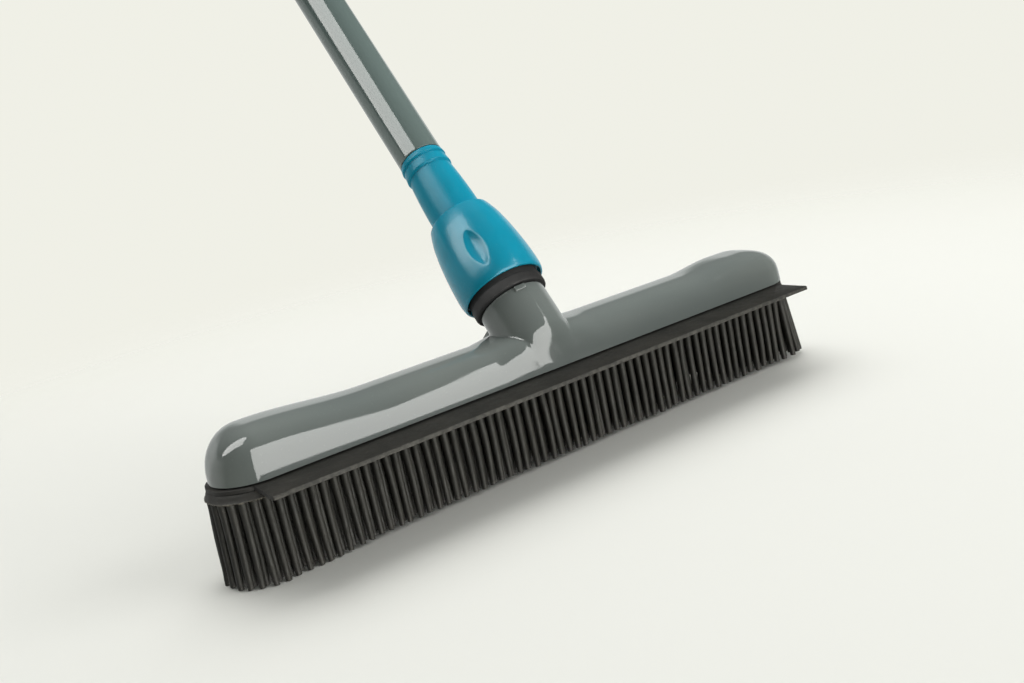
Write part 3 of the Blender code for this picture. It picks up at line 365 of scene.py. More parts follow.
@contextmanager
def opened(mesh):
    """A mesh opened as an editable shape, and written back at the end."""
    shape = bmesh.new()
    shape.from_mesh(mesh)
    yield shape
    shape.to_mesh(mesh)
    shape.free()


def mesh_object(name, vertices, faces):
    """A linked object made of points and faces, with its faces turned outwards."""
    mesh = bpy.data.meshes.new(name)
    mesh.from_pydata([tuple(vertex) for vertex in vertices], [], faces)
    with opened(mesh) as shape:
        bmesh.ops.recalc_face_normals(shape, faces=shape.faces)
    mesh.shade_smooth()
    return linked(name, mesh)


def join(first, second):
    """Put the second piece's mesh into the first one's."""
    chosen = [first, second]
    with bpy.context.temp_override(active_object=first, selected_editable_objects=chosen):
        bpy.ops.object.join()


def dress(piece, material, body, slot, *replaced):
    """Give a piece its material and body, and hide the nodes that it stands for. The slot is not used."""
    piece.data.materials.clear()
    piece.data.materials.append(material)
    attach(piece, body)
    if replaced:
        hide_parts(*replaced)


def side_faces(count, rings, start=0, closed=False):
    """Faces between rings of points; closed joins the last ring to the first."""
    faces = []
    for ring in range(rings if closed else rings - 1):
        here = start + ring * count
        there = start + (ring + 1) % rings * count
        for index in range(count):
            following = (index + 1) % count
            faces.append((here + index, here + following, there + following, there + index))
    return faces


def stack_faces(count, rings, start=0):
    """Faces of a closed stack of rings: its sides, then its two ends."""
    last = start + (rings - 1) * count
    ends = [tuple(range(start, start + count)), tuple(range(last, last + count))]
    return side_faces(count, rings, start) + ends


def soften(corners, steps=4):
    """Points in metres round a closed profile. A corner is radius, height and rounding, if any."""
    corners = [(across * MM, up * MM, sum(rounding) * MM) for across, up, *rounding in corners]
    points = []
    for index, (across, up, rounding) in enumerate(corners):
        here = Vector((across, up))
        before = Vector(corners[index - 1][:2]) - here
        after = Vector(corners[(index + 1) % len(corners)][:2]) - here
        if not rounding:
            points.append((across, up))
            continue
        start = here + before.normalized() * min(rounding, before.length * 0.49)
        end = here + after.normalized() * min(rounding, after.length * 0.49)
        for step in range(steps + 1):
            share = step / steps
            point = start * (1 - share) ** 2 + here * 2 * share * (1 - share) + end * share**2
            points.append(tuple(point))
    return points


def smooth_line(points, steps):
    """Points on a cubic curve through the given ones."""
    ends = [2 * Vector(points[0]) - Vector(points[1])]
    ends += [Vector(point) for point in points]
    ends += [2 * Vector(points[-1]) - Vector(points[-2])]
    line = []
    for index in range(1, len(ends) - 2):
        before, here, after, beyond = ends[index - 1 : index + 3]
        for step in range(steps):
            share = step / steps
            point = 2 * here + (after - before) * share
            point += (2 * before - 5 * here + 4 * after - beyond) * share**2
            point += (3 * here - 3 * after + beyond - before) * share**3
            line.append(tuple(point / 2))
    line.append(tuple(points[-1]))
    return line


def turned(name, profile, steps, shift=None, sharp=40):
    """A closed profile of (radius, height) in metres, turned about the pole's axis."""
    vertices = []
    for step in range(steps):
        angle = FULL_TURN * step / steps
        for radius, height in profile:
            reach = shift(radius, height, angle) if shift else radius
            vertices.append((reach * math.cos(angle), reach * math.sin(angle), height))
    piece = mesh_object(name, vertices, side_faces(len(profile), steps, closed=True))
    piece.data.transform(NECK)
    piece.data.set_sharp_from_angle(angle=math.radians(sharp))
    return piece


def smooth_step(share):
    """A share held between 0 and 1, with a soft start and a soft end."""
    share = np.clip(share, 0.0, 1.0)
    return share * share * (3 - 2 * share)


def saddle_share(x):
    """How far the bar is squared up where the neck stands on it."""
    return smooth_step((SADDLE_OUTER - np.abs(x - NECK_CENTRE.x)) / (SADDLE_OUTER - SADDLE_INNER))


def bar_shape(place):
    """Half depth, crown and section exponent of the housing's bar."""
    saddle = saddle_share(place)
    x = abs(place)
    half, hump_crown, hump_rise, flat, nose, exponent = LEFT_END if place < 0 else RIGHT_END
    nose_start = half - nose
    rise = smooth_step((x - nose_start + flat + hump_rise) / hump_rise)
    crown = MIDDLE_CROWN + (hump_crown - MIDDLE_CROWN) * rise
    crown += (SADDLE_CROWN - MIDDLE_CROWN) * saddle
    past_round = max(x - half + HOUSING_DEPTH_HALF, 0.0)
    half_depth = math.sqrt(max(HOUSING_DEPTH_HALF**2 - past_round**2, 0.0))
    past_nose = min(max(x - nose_start, 0.0) / nose, 1.0)
    crown *= (1 - past_nose**exponent) ** (1 / exponent)
    low, high = SECTION_EXPONENTS
    return half_depth, crown, low + (high - low) * rise + (SADDLE_EXPONENT - low) * saddle


def draft(height):
    """How far the bar's sides lean in at heights above its base."""
    low = np.clip(height, 0.0, DRAFT_HEIGHT)
    return DRAFT_SLOPE * (low - low**2 / (2 * DRAFT_HEIGHT))


def bar_stations(end):
    """Places along the bar's half where its section is set."""
    half, _, hump_rise, flat, nose, _ = end
    nose_start = half - nose
    rise_start = nose_start - flat - hump_rise
    rise = flat + hump_rise
    places = [rise_start * index / PLAIN_STATIONS for index in range(PLAIN_STATIONS)]
    places += [rise_start + rise * index / RISE_STATIONS for index in range(RISE_STATIONS)]
    angles = [QUARTER_TURN * index / NOSE_STATIONS for index in range(NOSE_STATIONS - 1)]
    return places + [nose_start + nose * math.sin(angle) for angle in angles]


def bar_mesh():
    """The bar as a fine closed loft, with its sides carried straight down past its base."""
    places = [-x for x in reversed(bar_stations(LEFT_END)[1:])] + bar_stations(RIGHT_END)
    vertices = []
    for x in places:
        half_depth, crown, exponent = bar_shape(x)
        vertices.append((x, -half_depth, HOUSING_BASE - SKIRT))
        for index in range(SECTION_STEPS + 1):
            angle = HALF_TURN * index / SECTION_STEPS
            across = math.copysign(abs(math.cos(angle)) ** (2 / exponent), math.cos(angle))
            up = max(math.sin(angle), 0.0) ** (2 / exponent)
            deep = max(half_depth - float(draft(crown * up)), half_depth * LEAST_DEPTH)
            vertices.append((x, -deep * across, HOUSING_BASE + crown * up))
        vertices.append((x, half_depth, HOUSING_BASE - SKIRT))
    return vertices, stack_faces(SECTION_STEPS + 3, len(places))


def joined_shell():
    """Bar and neck as one closed skin of small even faces."""
    bar = mesh_object("bar_form", *bar_mesh())
    top = NECK_TOP + SKIRT
    deep = NECK_RADIUS * ROOT_STRETCH
    steps = 24
    line = [(AXIS_GAP * MM, top), (NECK_RADIUS, top)]
    for step in range(steps):
        angle = -QUARTER_TURN * step / steps
        line.append((NECK_RADIUS * math.cos(angle), deep * math.sin(angle) - ROOT_DROP))
    line.append((AXIS_GAP * MM, -deep - ROOT_DROP))
    neck = turned("neck_form", line, 120)
    for vertex in neck.data.vertices:
        vertex.co.y = max(vertex.co.y, 0.1 * MM - HOUSING_DEPTH_HALF)
    join(bar, neck)
    skin = bar.modifiers.new("skin", "REMESH")
    skin.mode = "VOXEL"
    skin.voxel_size = VOXEL
    return bar


def applied(piece):
    """The piece's mesh with its modifiers in it."""
    bpy.context.view_layer.update()
    evaluated = piece.evaluated_get(bpy.context.evaluated_depsgraph_get())
    return bpy.data.meshes.new_from_object(evaluated)


def on_neck(points):
    """Points in the neck's own frame, with its axis along the third number."""
    return (points - np.array(NECK_CENTRE)) @ np.array(NECK.to_3x3())


def blended(first, second, reach):
    """The lower of two distances, with a soft change from one to the other."""
    share = np.clip(0.5 + 0.5 * (first - second) / reach, 0, 1)
    return first * (1 - share) + second * share - reach * share * (1 - share)


def skin_distance(points):
    """Signed distance to the joined surface, for points near the bar's middle."""
    share = saddle_share(points[:, 0])
    crown = MIDDLE_CROWN + (SADDLE_CROWN - MIDDLE_CROWN) * share
    exponent = SECTION_EXPONENTS[0] + (SADDLE_EXPONENT - SECTION_EXPONENTS[0]) * share
    lean = draft(points[:, 2] - HOUSING_BASE)
    u = np.abs(points[:, 1]) / (HOUSING_DEPTH_HALF - lean)
    v = np.clip(points[:, 2] - HOUSING_BASE, 0, None) / crown
    total = np.maximum(u**exponent + v**exponent, 1e-9)
    slope_y = total ** (1 / exponent - 1) * u ** (exponent - 1) / HOUSING_DEPTH_HALF
    slope_z = total ** (1 / exponent - 1) * v ** (exponent - 1) / crown
    bar = (total ** (1 / exponent) - 1) / np.hypot(slope_y, slope_z)
    local = on_neck(points)
    low = np.minimum(local[:, 2] + ROOT_DROP, 0.0) / ROOT_STRETCH
    neck = np.sqrt(local[:, 0] ** 2 + local[:, 1] ** 2 + low**2) - NECK_RADIUS
    front = -points[:, 1] - HOUSING_DEPTH_HALF + lean
    neck = -blended(-neck, -front, FRONT_BLEND)
    return blended(neck, bar, FILLET)


def smooth_fields(points):
    """Distance to the joined surface and its outward direction."""
    step = 0.01 * MM
    distance = skin_distance(points)
    out = np.zeros_like(points)
    for side in range(3):
        offset = np.zeros(3)
        offset[side] = step
        out[:, side] = skin_distance(points + offset) - skin_distance(points - offset)
    out /= np.maximum(np.linalg.norm(out, axis=1), 1e-12)[:, None]
    return distance, out


def settle(points):
    """Move points onto the housing's exact surface. Returns them and the surface's directions."""
    points = points.copy()
    outward = np.zeros_like(points)
    middle = np.abs(points[:, 0]) < MIDDLE_ZONE
    inner = points[middle]
    for _ in range(SETTLE_STEPS):
        distance, out = smooth_fields(inner)
        inner = inner - distance[:, None] * out
    points[middle] = inner
    outward[middle] = smooth_fields(inner)[1]
    vertices, faces = bar_mesh()
    guide = mesh_object("bar_guide", vertices, faces[:-2])
    normals = [vertex.normal.copy() for vertex in guide.data.vertices]
    corners = [vertex.co.copy() for vertex in guide.data.vertices]
    guide.data.calc_loop_triangles()
    triangles = [tuple(triangle.vertices) for triangle in guide.data.loop_triangles]
    tree = BVHTree.FromPolygons(corners, triangles)
    for index in np.nonzero(~middle)[0]:
        near, _, face, _ = tree.find_nearest(Vector(points[index]))
        a, b, c = triangles[face]
        weights = barycentric(near, corners[a], corners[b], corners[c])
        direction = normals[a] * weights[0] + normals[b] * weights[1] + normals[c] * weights[2]
        points[index] = near
        outward[index] = direction.normalized()
    bpy.data.objects.remove(guide)
    return points, outward


def barycentric(point, a, b, c):
    """How much of each corner of a triangle makes a point in it."""
    first = b - a
    second = c - a
    offset = point - a
    first_square = first.dot(first)
    both = first.dot(second)
    second_square = second.dot(second)
    on_first = first.dot(offset)
    on_second = second.dot(offset)
    scale = first_square * second_square - both * both
    if abs(scale) < 1e-24:
        return 1.0, 0.0, 0.0
    share_b = (second_square * on_first - both * on_second) / scale
    share_c = (first_square * on_second - both * on_first) / scale
    return 1 - share_b - share_c, share_b, share_c


def cut_flat(shape, point, normal):
    """Cut everything on the normal's side of a plane away, and close the cut."""
    geometry = shape.verts[:] + shape.edges[:] + shape.faces[:]
    result = bmesh.ops.bisect_plane(
        shape, geom=geometry, plane_co=point, plane_no=normal, dist=1e-7, clear_outer=True
    )
    rim = [element for element in result["geom_cut"] if isinstance(element, bmesh.types.BMEdge)]
    bmesh.ops.holes_fill(shape, edges=rim)


def carve(piece, tool):
    """Cut a tool from a piece, then drop the tool."""
    modifier = piece.modifiers.new("cut", "BOOLEAN")
    modifier.operation = "DIFFERENCE"
    modifier.solver = "MANIFOLD"
    modifier.object = tool
    mesh = applied(piece)
    piece.modifiers.clear()
    piece.data = mesh
    bpy.data.objects.remove(tool)


def circle(radius, steps, x=0.0):
    """Outline points of a circle about a place on the X axis."""
    angles = [FULL_TURN * (step + 0.5) / steps for step in range(steps)]
    return [(x + radius * math.cos(angle), radius * math.sin(angle)) for angle in angles]


def stadium(half, radius, steps=48):
    """Outline points with straight sides and round ends."""
    straight = half - radius
    points = []
    for side, first in ((1, -QUARTER_TURN), (-1, QUARTER_TURN)):
        for index in range(steps + 1):
            angle = first + HALF_TURN * index / steps
            points.append((side * straight + radius * math.cos(angle), radius * math.sin(angle)))
    return points


def prism(loop, bottom, top):
    """A closed upright block, used as a cutter."""
    vertices = [(x, y, z) for z in (bottom, top) for x, y in loop]
    return mesh_object("prism_form", vertices, stack_faces(len(loop), 2))


def coordinates(mesh):
    """A mesh's points, one in each row."""
    points = np.zeros(len(mesh.vertices) * 3)
    mesh.vertices.foreach_get("co", points)
    return points.reshape(-1, 3)


def housing_form():
    """The closed skin on its exact surface, cut flat below and at the neck's top."""
    form = joined_shell()
    mesh = applied(form)
    bpy.data.objects.remove(form)
    points, _ = settle(coordinates(mesh))
    mesh.vertices.foreach_set("co", points.ravel())
    with opened(mesh) as shape:
        cut_flat(shape, (0, 0, HOUSING_BASE), (0, 0, -1))
        cut_flat(shape, NECK_CENTRE + NECK_AXIS * NECK_TOP, NECK_AXIS)
        bmesh.ops.recalc_face_normals(shape, faces=shape.faces)
    return linked("housing_moulding", mesh)


def round_rim(points, outward, on_skin):
    """Pull the neck's top edge in along a quarter round, and tilt its directions to match."""
    past = (on_neck(points)[:, 2] - NECK_TOP + NECK_EDGE) / NECK_EDGE
    for index in np.nonzero(on_skin & (past > 0))[0]:
        share = min(past[index], 1.0)
        level = math.sqrt(1 - share * share)
        pull = NECK_EDGE * (1 - level)
        points[index] -= outward[index] * pull
        tilt = outward[index] * level + np.array(NECK_AXIS) * share
        outward[index] = tilt / np.linalg.norm(tilt)


def shade_skin(mesh, outward, on_skin):
    """Shade the skin by its exact directions, and the faces of the cuts flat."""
    mesh.shade_smooth()
    mesh.update()
    normals = []
    for polygon in mesh.polygons:
        facing = np.array(polygon.normal)
        for vertex in polygon.vertices:
            out = outward[vertex]
            follows = on_skin[vertex] and float(out @ facing) > LEAST_FACING
            normals.append(tuple(out if follows else facing))
    mesh.normals_split_custom_set(normals)


def make_housing(material):
    """The glossy moulding: bar, humps and leaning neck in one skin, open below and bored above."""
    piece = housing_form()
    rebate = stadium(HOUSING_HALF - REBATE_WALL, HOUSING_DEPTH_HALF - REBATE_WALL)
    carve(piece, prism(rebate, HOUSING_BASE - 2 * MM, HOUSING_BASE + REBATE_HEIGHT))
    for x in SCREW_PLACES:
        pilot = circle(PILOT_RADIUS, 16, x)
        carve(piece, prism(pilot, HOUSING_BASE + REBATE_HEIGHT / 2, PILOT_TOP))
    bore = prism(circle(BORE_RADIUS, 96), BORE_BOTTOM, NECK_TOP + 2 * MM)
    bore.data.transform(NECK)
    carve(piece, bore)
    mesh = piece.data
    mesh.name = "housing_moulding"
    points = coordinates(mesh)
    settled, outward = settle(points)
    on_skin = np.linalg.norm(settled - points, axis=1) < SKIN_REACH
    round_rim(points, outward, on_skin)
    mesh.vertices.foreach_set("co", points.ravel())
    shade_skin(mesh, outward, on_skin)
    dress(piece, material, "head", "housing_grey", "head_housing")


def layered(name, loop, levels, wander):
    """A closed piece with an outline that is inset by its own amount at each height."""
    count = len(loop)
    flat = [Vector(point) for point in loop]
    outs = []
    for index in range(count):
        along = flat[(index + 1) % count] - flat[index - 1]
        outs.append(Vector((along.y, -along.x)).normalized())
    vertices = []
    for level, (height, inset) in enumerate(levels):
        for index in range(count):
            reach, lift = wander(flat[index], level)
            spot = flat[index] + outs[index] * (reach - inset)
            vertices.append((spot.x, spot.y, height + lift))
    piece = mesh_object(name, vertices, stack_faces(count, len(levels)))
    with opened(piece.data) as shape:
        bmesh.ops.triangulate(shape, faces=[face for face in shape.faces if len(face.verts) > 4])
    piece.data.set_sharp_from_angle(angle=math.radians(45))
    return piece


def evenly(loop, spacing):
    """A closed outline with points at an even spacing, its own corners kept."""
    points = []
    for index, here in enumerate(loop):
        start = Vector(here)
        end = Vector(loop[(index + 1) % len(loop)])
        count = max(1, round((end - start).length / spacing))
        points += [tuple(start.lerp(end, step / count)) for step in range(count)]
    return points


def scaled(spot, level, across, up):
    """A place on an outline and a level, scaled for the noise."""
    return Vector((spot.x * across, spot.y * across, level * up))


def sheet_outline():
    """The top sheet's outline, with the lip along its front and small rounds at its corners."""
    front = -PAD_RADIUS - LIP_PROJECTION
    right = []
    for step in range(5):
        angle = -QUARTER_TURN + QUARTER_TURN * step / 4
        x = LIP_HALF - LIP_CORNER + LIP_CORNER * math.cos(angle)
        right.append((x, front + LIP_CORNER + LIP_CORNER * math.sin(angle)))
    root_angle = -math.acos((LIP_HALF - PAD_STRAIGHT) / SHEET_RADIUS)
    for step in range(61):
        angle = root_angle + (QUARTER_TURN - root_angle) * step / 60
        x = PAD_STRAIGHT + SHEET_RADIUS * math.cos(angle)
        right.append((x, SHEET_RADIUS * math.sin(angle)))
    left = [(-x, y) for x, y in reversed(right)]
    return right + left


def make_sheet(material):
    """The rubber top sheet with its squeegee lip, cut a little unevenly."""

    def wander(spot, level):
        coarse = noise.noise(scaled(spot, level, 90, 0.2))
        fine = noise.noise(scaled(spot, level, 700, 1.7))
        return coarse * 0.14 * MM + fine * 0.07 * MM, 0.0

    levels = [(SHEET_BOTTOM, SHEET_EDGE), (SHEET_BOTTOM + SHEET_EDGE * 0.5, 0.0)]
    levels += [(SHEET_TOP - 2 * SHEET_EDGE, 0.1 * MM)]
    levels += [(SHEET_TOP - SHEET_EDGE * 0.6, SHEET_EDGE * 0.9), (SHEET_TOP, 2 * SHEET_EDGE)]
    piece = layered("squeegee_sheet", evenly(sheet_outline(), 0.7 * MM), levels, wander)
    dress(piece, material, "head", "rubber_black", "rubber_sheet")


def strand_roots():
    """Roots of the strands: staggered rows along the head, then turns round its two ends."""
    last = int(PAD_STRAIGHT / STRAND_PITCH)
    column_end = last * STRAND_PITCH
    roots = []
    for row in range(-STRAND_RINGS, STRAND_RINGS + 1):
        offset = 0.5 if row % 2 else 0.0
        for column in range(-last, last + 1):
            x = (column + offset) * STRAND_PITCH
            if abs(x) <= column_end + STRAND_PITCH * 0.1:
                roots.append(Vector((x, row * STRAND_ROW)))
    for ring in range(1, STRAND_RINGS + 1):
        radius = ring * STRAND_ROW
        way = 2 * (PAD_STRAIGHT - column_end) + HALF_TURN * radius
        count = max(2, round(way / STRAND_PITCH))
        first = 0.5 if ring % 2 else 1.0
        for index in range(count):
            along = way * (index + first) / count
            if along >= way - 0.3 * STRAND_PITCH:
                continue
            angle = (along - PAD_STRAIGHT + column_end) / radius
            held = min(max(angle, 0.0), HALF_TURN)
            straight = min(along, way - along, PAD_STRAIGHT - column_end)
            x = column_end + straight + radius * math.sin(held)
            y = -radius * math.cos(held)
            roots += [Vector((x, y)), Vector((-x, y))]
    return roots


def add_strand(vertices, faces, root, chance):
    """One round strand with a slight bend, a flared root and a tip cut a little askew."""
    past = max(abs(root.x) - PAD_STRAIGHT, 0.0)
    from_middle = Vector((math.copysign(past, root.x), root.y))
    share = math.sqrt(past / from_middle.length) if past else 0.0
    splay = LEFT_SPLAY if root.x < 0 else RIGHT_SPLAY
    tip = root + from_middle * (splay / PAD_RADIUS) * share
    tip += Vector((chance.gauss(0, 0.25), chance.gauss(0, 0.3))) * MM
    tip_height = abs(chance.gauss(0, 0.3)) * MM
    tip_height += TIP_LIFT * smooth_step((root.x - LIFT_START) / LIFT_LENGTH)
    bend = Vector((chance.gauss(0, 0.25), chance.gauss(0, 0.25))) * MM
    slant = Vector((chance.gauss(0, 0.12), chance.gauss(0, 0.12)))
    thickness = chance.uniform(0.95, 1.05)
    start = len(vertices)
    for level in range(STRAND_LEVELS + 1):
        down = level / STRAND_LEVELS
        centre = root.lerp(tip, down) + bend * math.sin(HALF_TURN * down)
        radius = (STRAND_BASE + (STRAND_TIP - STRAND_BASE) * down) * thickness
        if level == 0:
            radius *= ROOT_FLARE
        height = STRAND_TOP - (STRAND_TOP - tip_height) * down
        for side in range(STRAND_SIDES):
            angle = FULL_TURN * side / STRAND_SIDES
            offset = Vector((math.cos(angle), math.sin(angle))) * radius
            lift = offset.dot(slant) if level == STRAND_LEVELS else 0.0
            vertices.append((*(centre + offset), max(height + lift, 0.0)))
    faces += stack_faces(STRAND_SIDES, STRAND_LEVELS + 1, start)


def make_strands(material):
    """The rubber pad with its rough flash, and all its strands, in one moulding."""

    def wander(spot, level):
        fine = scaled(spot, level, 900, 1.3)
        reach = noise.noise(scaled(spot, level, 140, 0.25)) * 0.10 * MM
        reach += noise.noise(fine) * 0.10 * MM
        if level not in (1, 2):
            return reach, 0.0
        rag = max(noise.noise(fine + Vector((0, 0, 9))) + 0.35, 0.0)
        return reach + rag * 0.5 * MM, -rag * 0.35 * MM

    insets = [(0, 0.9), (0.05, 0.2), (0.45, -0.2), (1.0, 0.2), (2.0, 0.6), (3.3, 1.2), (3.5, 1.4)]
    levels = [(PAD_BOTTOM + up * MM, inset * MM) for up, inset in insets]
    outline = evenly(stadium(PAD_HALF - 0.15 * MM, PAD_RADIUS - 0.15 * MM), 0.6 * MM)
    pad = layered("strand_mat", outline, levels, wander)
    chance = random.Random(STRAND_SEED)
    vertices = []
    faces = []
    for root in strand_roots():
        add_strand(vertices, faces, root, chance)
    strands = mesh_object("strands", vertices, faces)
    strands.data.set_sharp_from_angle(angle=math.radians(50))
    join(pad, strands)
    blocks = [f"strand_block_{index}" for index in range(1, 6)]
    dress(pad, material, "head", "rubber_black", *blocks)


def make_neck_ring(material):
    """The black ring at the neck's rim, with the bush behind it."""
    corners = [(15.6, 49.5, 0.3), (15.6, 28.0), (18.3, 28.0, 0.3), (18.3, 23.9, 0.1)]
    corners += [(18.75, 23.6, 0.15), (18.75, 20.1, 0.15), (18.55, 19.3, 0.15), (18.2, 19.0, 0.2)]
    corners += [(14.6, 19.0), (14.6, -1.2, 0.3), (12.9, -1.2), (12.9, 49.5)]
    piece = turned("neck_ring", soften(corners), 144)
    dress(piece, material, "head", "bush_black", "socket_bush")


def dimple_depth(across, along):
    """How far the finger dimple sinks in, at a place on the collar's side."""
    radius = (DIMPLE_HALF_LENGTH**2 + DIMPLE_HALF_WIDTH**2) / (2 * DIMPLE_HALF_WIDTH)
    across = math.hypot(across, DIMPLE_CREASE)
    inside = radius - math.hypot(across + radius - DIMPLE_HALF_WIDTH, along)
    inside = (inside + math.hypot(inside, DIMPLE_SOFTNESS)) / 2
    share = min(inside / DIMPLE_HALF_WIDTH, 1.0)
    return DIMPLE_DEPTH * (1 - (1 - share) ** 2)


def make_collar(material):
    """The teal lock collar, with three almond-shaped finger dimples sunk in its barrel."""
    side = [(21.15, 27.2), (21.35, 28.4), (21.50, 30.3), (21.52, 33.3), (21.33, 38.3), (21.07, 42.4)]
    side += [(20.73, 46.4), (20.28, 50.5), (19.79, 54.5), (19.11, 58.5), (18.33, 62.6)]
    side += [(17.21, 66.6), (16.10, 69.9)]
    corners = [(15.4, 70.8, 0.5), (13.35, 70.8, 0.3), (13.35, 54.9), (15.9, 54.9), (15.9, 49.5)]
    corners += [(17.7, 49.5), (17.7, 31.0), (19.8, 29.5), (19.8, 26.0, 0.2), (20.75, 26.0, 0.7)]
    corners.append(side[0])

    inner_wall = 18.0 * MM
    rim_top = 27.0 * MM
    dimple_zone = 14.0 * MM

    def shift(reach, height, angle):
        along = (height - DIMPLE_HEIGHT) / math.cos(DIMPLE_LEAN)
        if reach < inner_wall or height < rim_top or abs(along) > dimple_zone:
            return reach
        half_spacing = HALF_TURN / 3
        turn = (angle - DIMPLE_TURN + half_spacing) % (2 * half_spacing) - half_spacing
        return reach - dimple_depth(turn * reach, along)

    barrel = smooth_line([(radius * MM, height * MM) for radius, height in side], 12)
    piece = turned("twist_collar", soften(corners)[:-1] + barrel, 360, shift, sharp=50)
    dress(piece, material, "collar", "teal_plastic", "lock_collar")


def make_sleeve(material):
    """The teal pole sleeve with its two barbed rings."""
    side = [(11.48, 99.4), (11.86, 96.4), (12.16, 92.8), (12.46, 88.8), (12.66, 84.8)]
    side += [(12.87, 80.7), (13.0, 76.0), (13.05, 70.8)]
    corners = [(10.6, 149.9, 0.3), (10.6, 109.9), (11.3, 109.9, 0.1), (11.65, 109.6, 0.25)]
    corners += [(12.15, 107.0, 0.35), (11.2, 106.5, 0.1), (11.2, 106.1, 0.1), (11.65, 105.8, 0.25)]
    corners += [(12.25, 101.1, 0.4), (11.1, 100.4, 0.1), (11.1, 99.9, 0.1), (11.44, 99.7, 0.1)]
    corners += smooth_line(side, 4)
    corners += [(13.05, 54.6), (15.5, 54.6, 0.2), (15.5, 51.6, 0.2), (12.6, 51.6)]
    corners += [(12.6, -1.2, 0.3), (9.0, -1.2, 0.3), (9.0, 149.9, 0.3)]
    piece = turned("pole_sleeve", soften(corners), 144)
    dress(piece, material, "head", "teal_plastic", "pole_adapter")


def make_tube(name, radius, bottom, top, material, body, node):
    """A painted tube, with sizes in mm. The corners 1 mm from its ends keep its shading straight."""
    wall = 0.6
    edge = 0.15
    corners = [(radius, top, edge), (radius, top - 1.0), (radius, bottom + 1.0)]
    corners += [(radius, bottom, edge), (radius - wall, bottom, edge), (radius - wall, top, edge)]
    piece = turned(name, soften(corners, 3), 96)
    dress(piece, material, body, "tube_paint", node)


def make_guide(material):
    """The fluted bush at the top of the lower tube."""
    corners = [(13.4, 763.5, 1.5), (13.4, 758.5), (13.4, 756.0), (13.4, 741.0), (13.4, 738.5)]
    corners += [(13.4, 733.5, 1.5), (10.6, 733.5), (10.6, 718.5, 0.3), (9.8, 718.5)]
    corners.append((9.8, 763.5, 0.3))
    flutes = 14
    flute_depth = 0.45 * MM
    flute_bottom = 740.0 * MM
    flute_top = 757.0 * MM
    inside = 13.3 * MM

    def flute(reach, height, angle):
        if reach < inside or not flute_bottom < height < flute_top:
            return reach
        return reach - flute_depth * max(math.cos(angle * flutes), 0.0) ** 2

    piece = turned("guide_sleeve", soften(corners, 5), 16 * flutes, flute)
    dress(piece, material, "head", "teal_plastic", "guide_bush")


def make_grip(material):
    """The rubber grip: a soft waist and belly with shallow grooves round it."""
    bottom = 767.7 * MM
    length = 130.0 * MM
    radius = 15.0 * MM
    bore = 9.8 * MM
    groove_depth = 0.5 * MM
    groove_half = 1.0 * MM
    inside = 12.5 * MM
    shares = [(0.0, 0.90), (0.03, 1.0), (0.12, 0.94), (0.30, 0.97), (0.50, 1.0)]
    shares += [(0.70, 0.97), (0.88, 0.93), (0.97, 1.0), (1.0, 0.93)]
    side = smooth_line([(radius * across, bottom + length * up) for up, across in shares], 24)
    grooves = [bottom + length * (0.2 + 0.6 * index / 15) for index in range(16)]

    def groove(reach, height, angle):
        if reach < inside:
            return reach
        near = min(abs(height - place) for place in grooves)
        return reach - groove_depth * max(1 - near / groove_half, 0.0) ** 0.7

    profile = side + [(bore, bottom + length), (bore, bottom)]
    piece = turned("grip_cover", profile, 96, groove)
    dress(piece, material, "upper_pole", "grip_rubber", "hand_grip")


def eye_arc(radius, sweep, steps):
    """Points on an arc about the hanging eye's centre."""
    angles = [sweep * step / steps for step in range(steps + 1)]
    return [(radius * math.cos(angle), EYE_CENTRE + radius * math.sin(angle)) for angle in angles]


def eye_plate():
    """The hanging eye: a flat plate with a round top and a round hole."""
    curve = bpy.data.curves.new("eye", "CURVE")
    curve.dimensions = "2D"
    curve.fill_mode = "BOTH"
    curve.extrude = EYE_HALF_THICKNESS
    curve.bevel_depth = EYE_EDGE
    curve.bevel_resolution = 3
    reach = EYE_RADIUS - EYE_EDGE
    outer = eye_arc(reach, HALF_TURN, 32) + [(-reach, EYE_FOOT), (reach, EYE_FOOT)]
    hole = eye_arc(EYE_HOLE + EYE_EDGE, FULL_TURN, 48)[:-1]
    for loop in (outer, hole):
        spline = curve.splines.new("POLY")
        spline.points.add(len(loop) - 1)
        for point, (x, y) in zip(spline.points, loop):
            point.co = (x, y, 0, 1)
        spline.use_cyclic_u = True
    holder = linked("eye", curve)
    mesh = applied(holder)
    bpy.data.objects.remove(holder)
    with opened(mesh) as shape:
        bmesh.ops.remove_doubles(shape, verts=shape.verts, dist=1e-6)
        bmesh.ops.recalc_face_normals(shape, faces=shape.faces)
    mesh.materials.clear()
    mesh.shade_smooth()
    mesh.set_sharp_from_angle(angle=math.radians(40))
    upright = Matrix(((0, 0, 1, 0), (1, 0, 0, 0), (0, 1, 0, 0), (0, 0, 0, 1)))
    mesh.transform(NECK @ upright)
    return linked("eye_plate", mesh)


def make_cap(material):
    """The end cap with its hanging eye."""
    corners = [(AXIS_GAP, 904.0), (14.0, 904.0, 2.0), (14.0, 898.0, 0.4)]
    corners += [(8.6, 898.0), (8.6, 872.0, 0.4), (AXIS_GAP, 872.0)]
    cap = turned("hanging_end_cap", soften(corners, 6), 96)
    join(cap, eye_plate())
    dress(cap, material, "upper_pole", "teal_plastic", "hanging_cap")


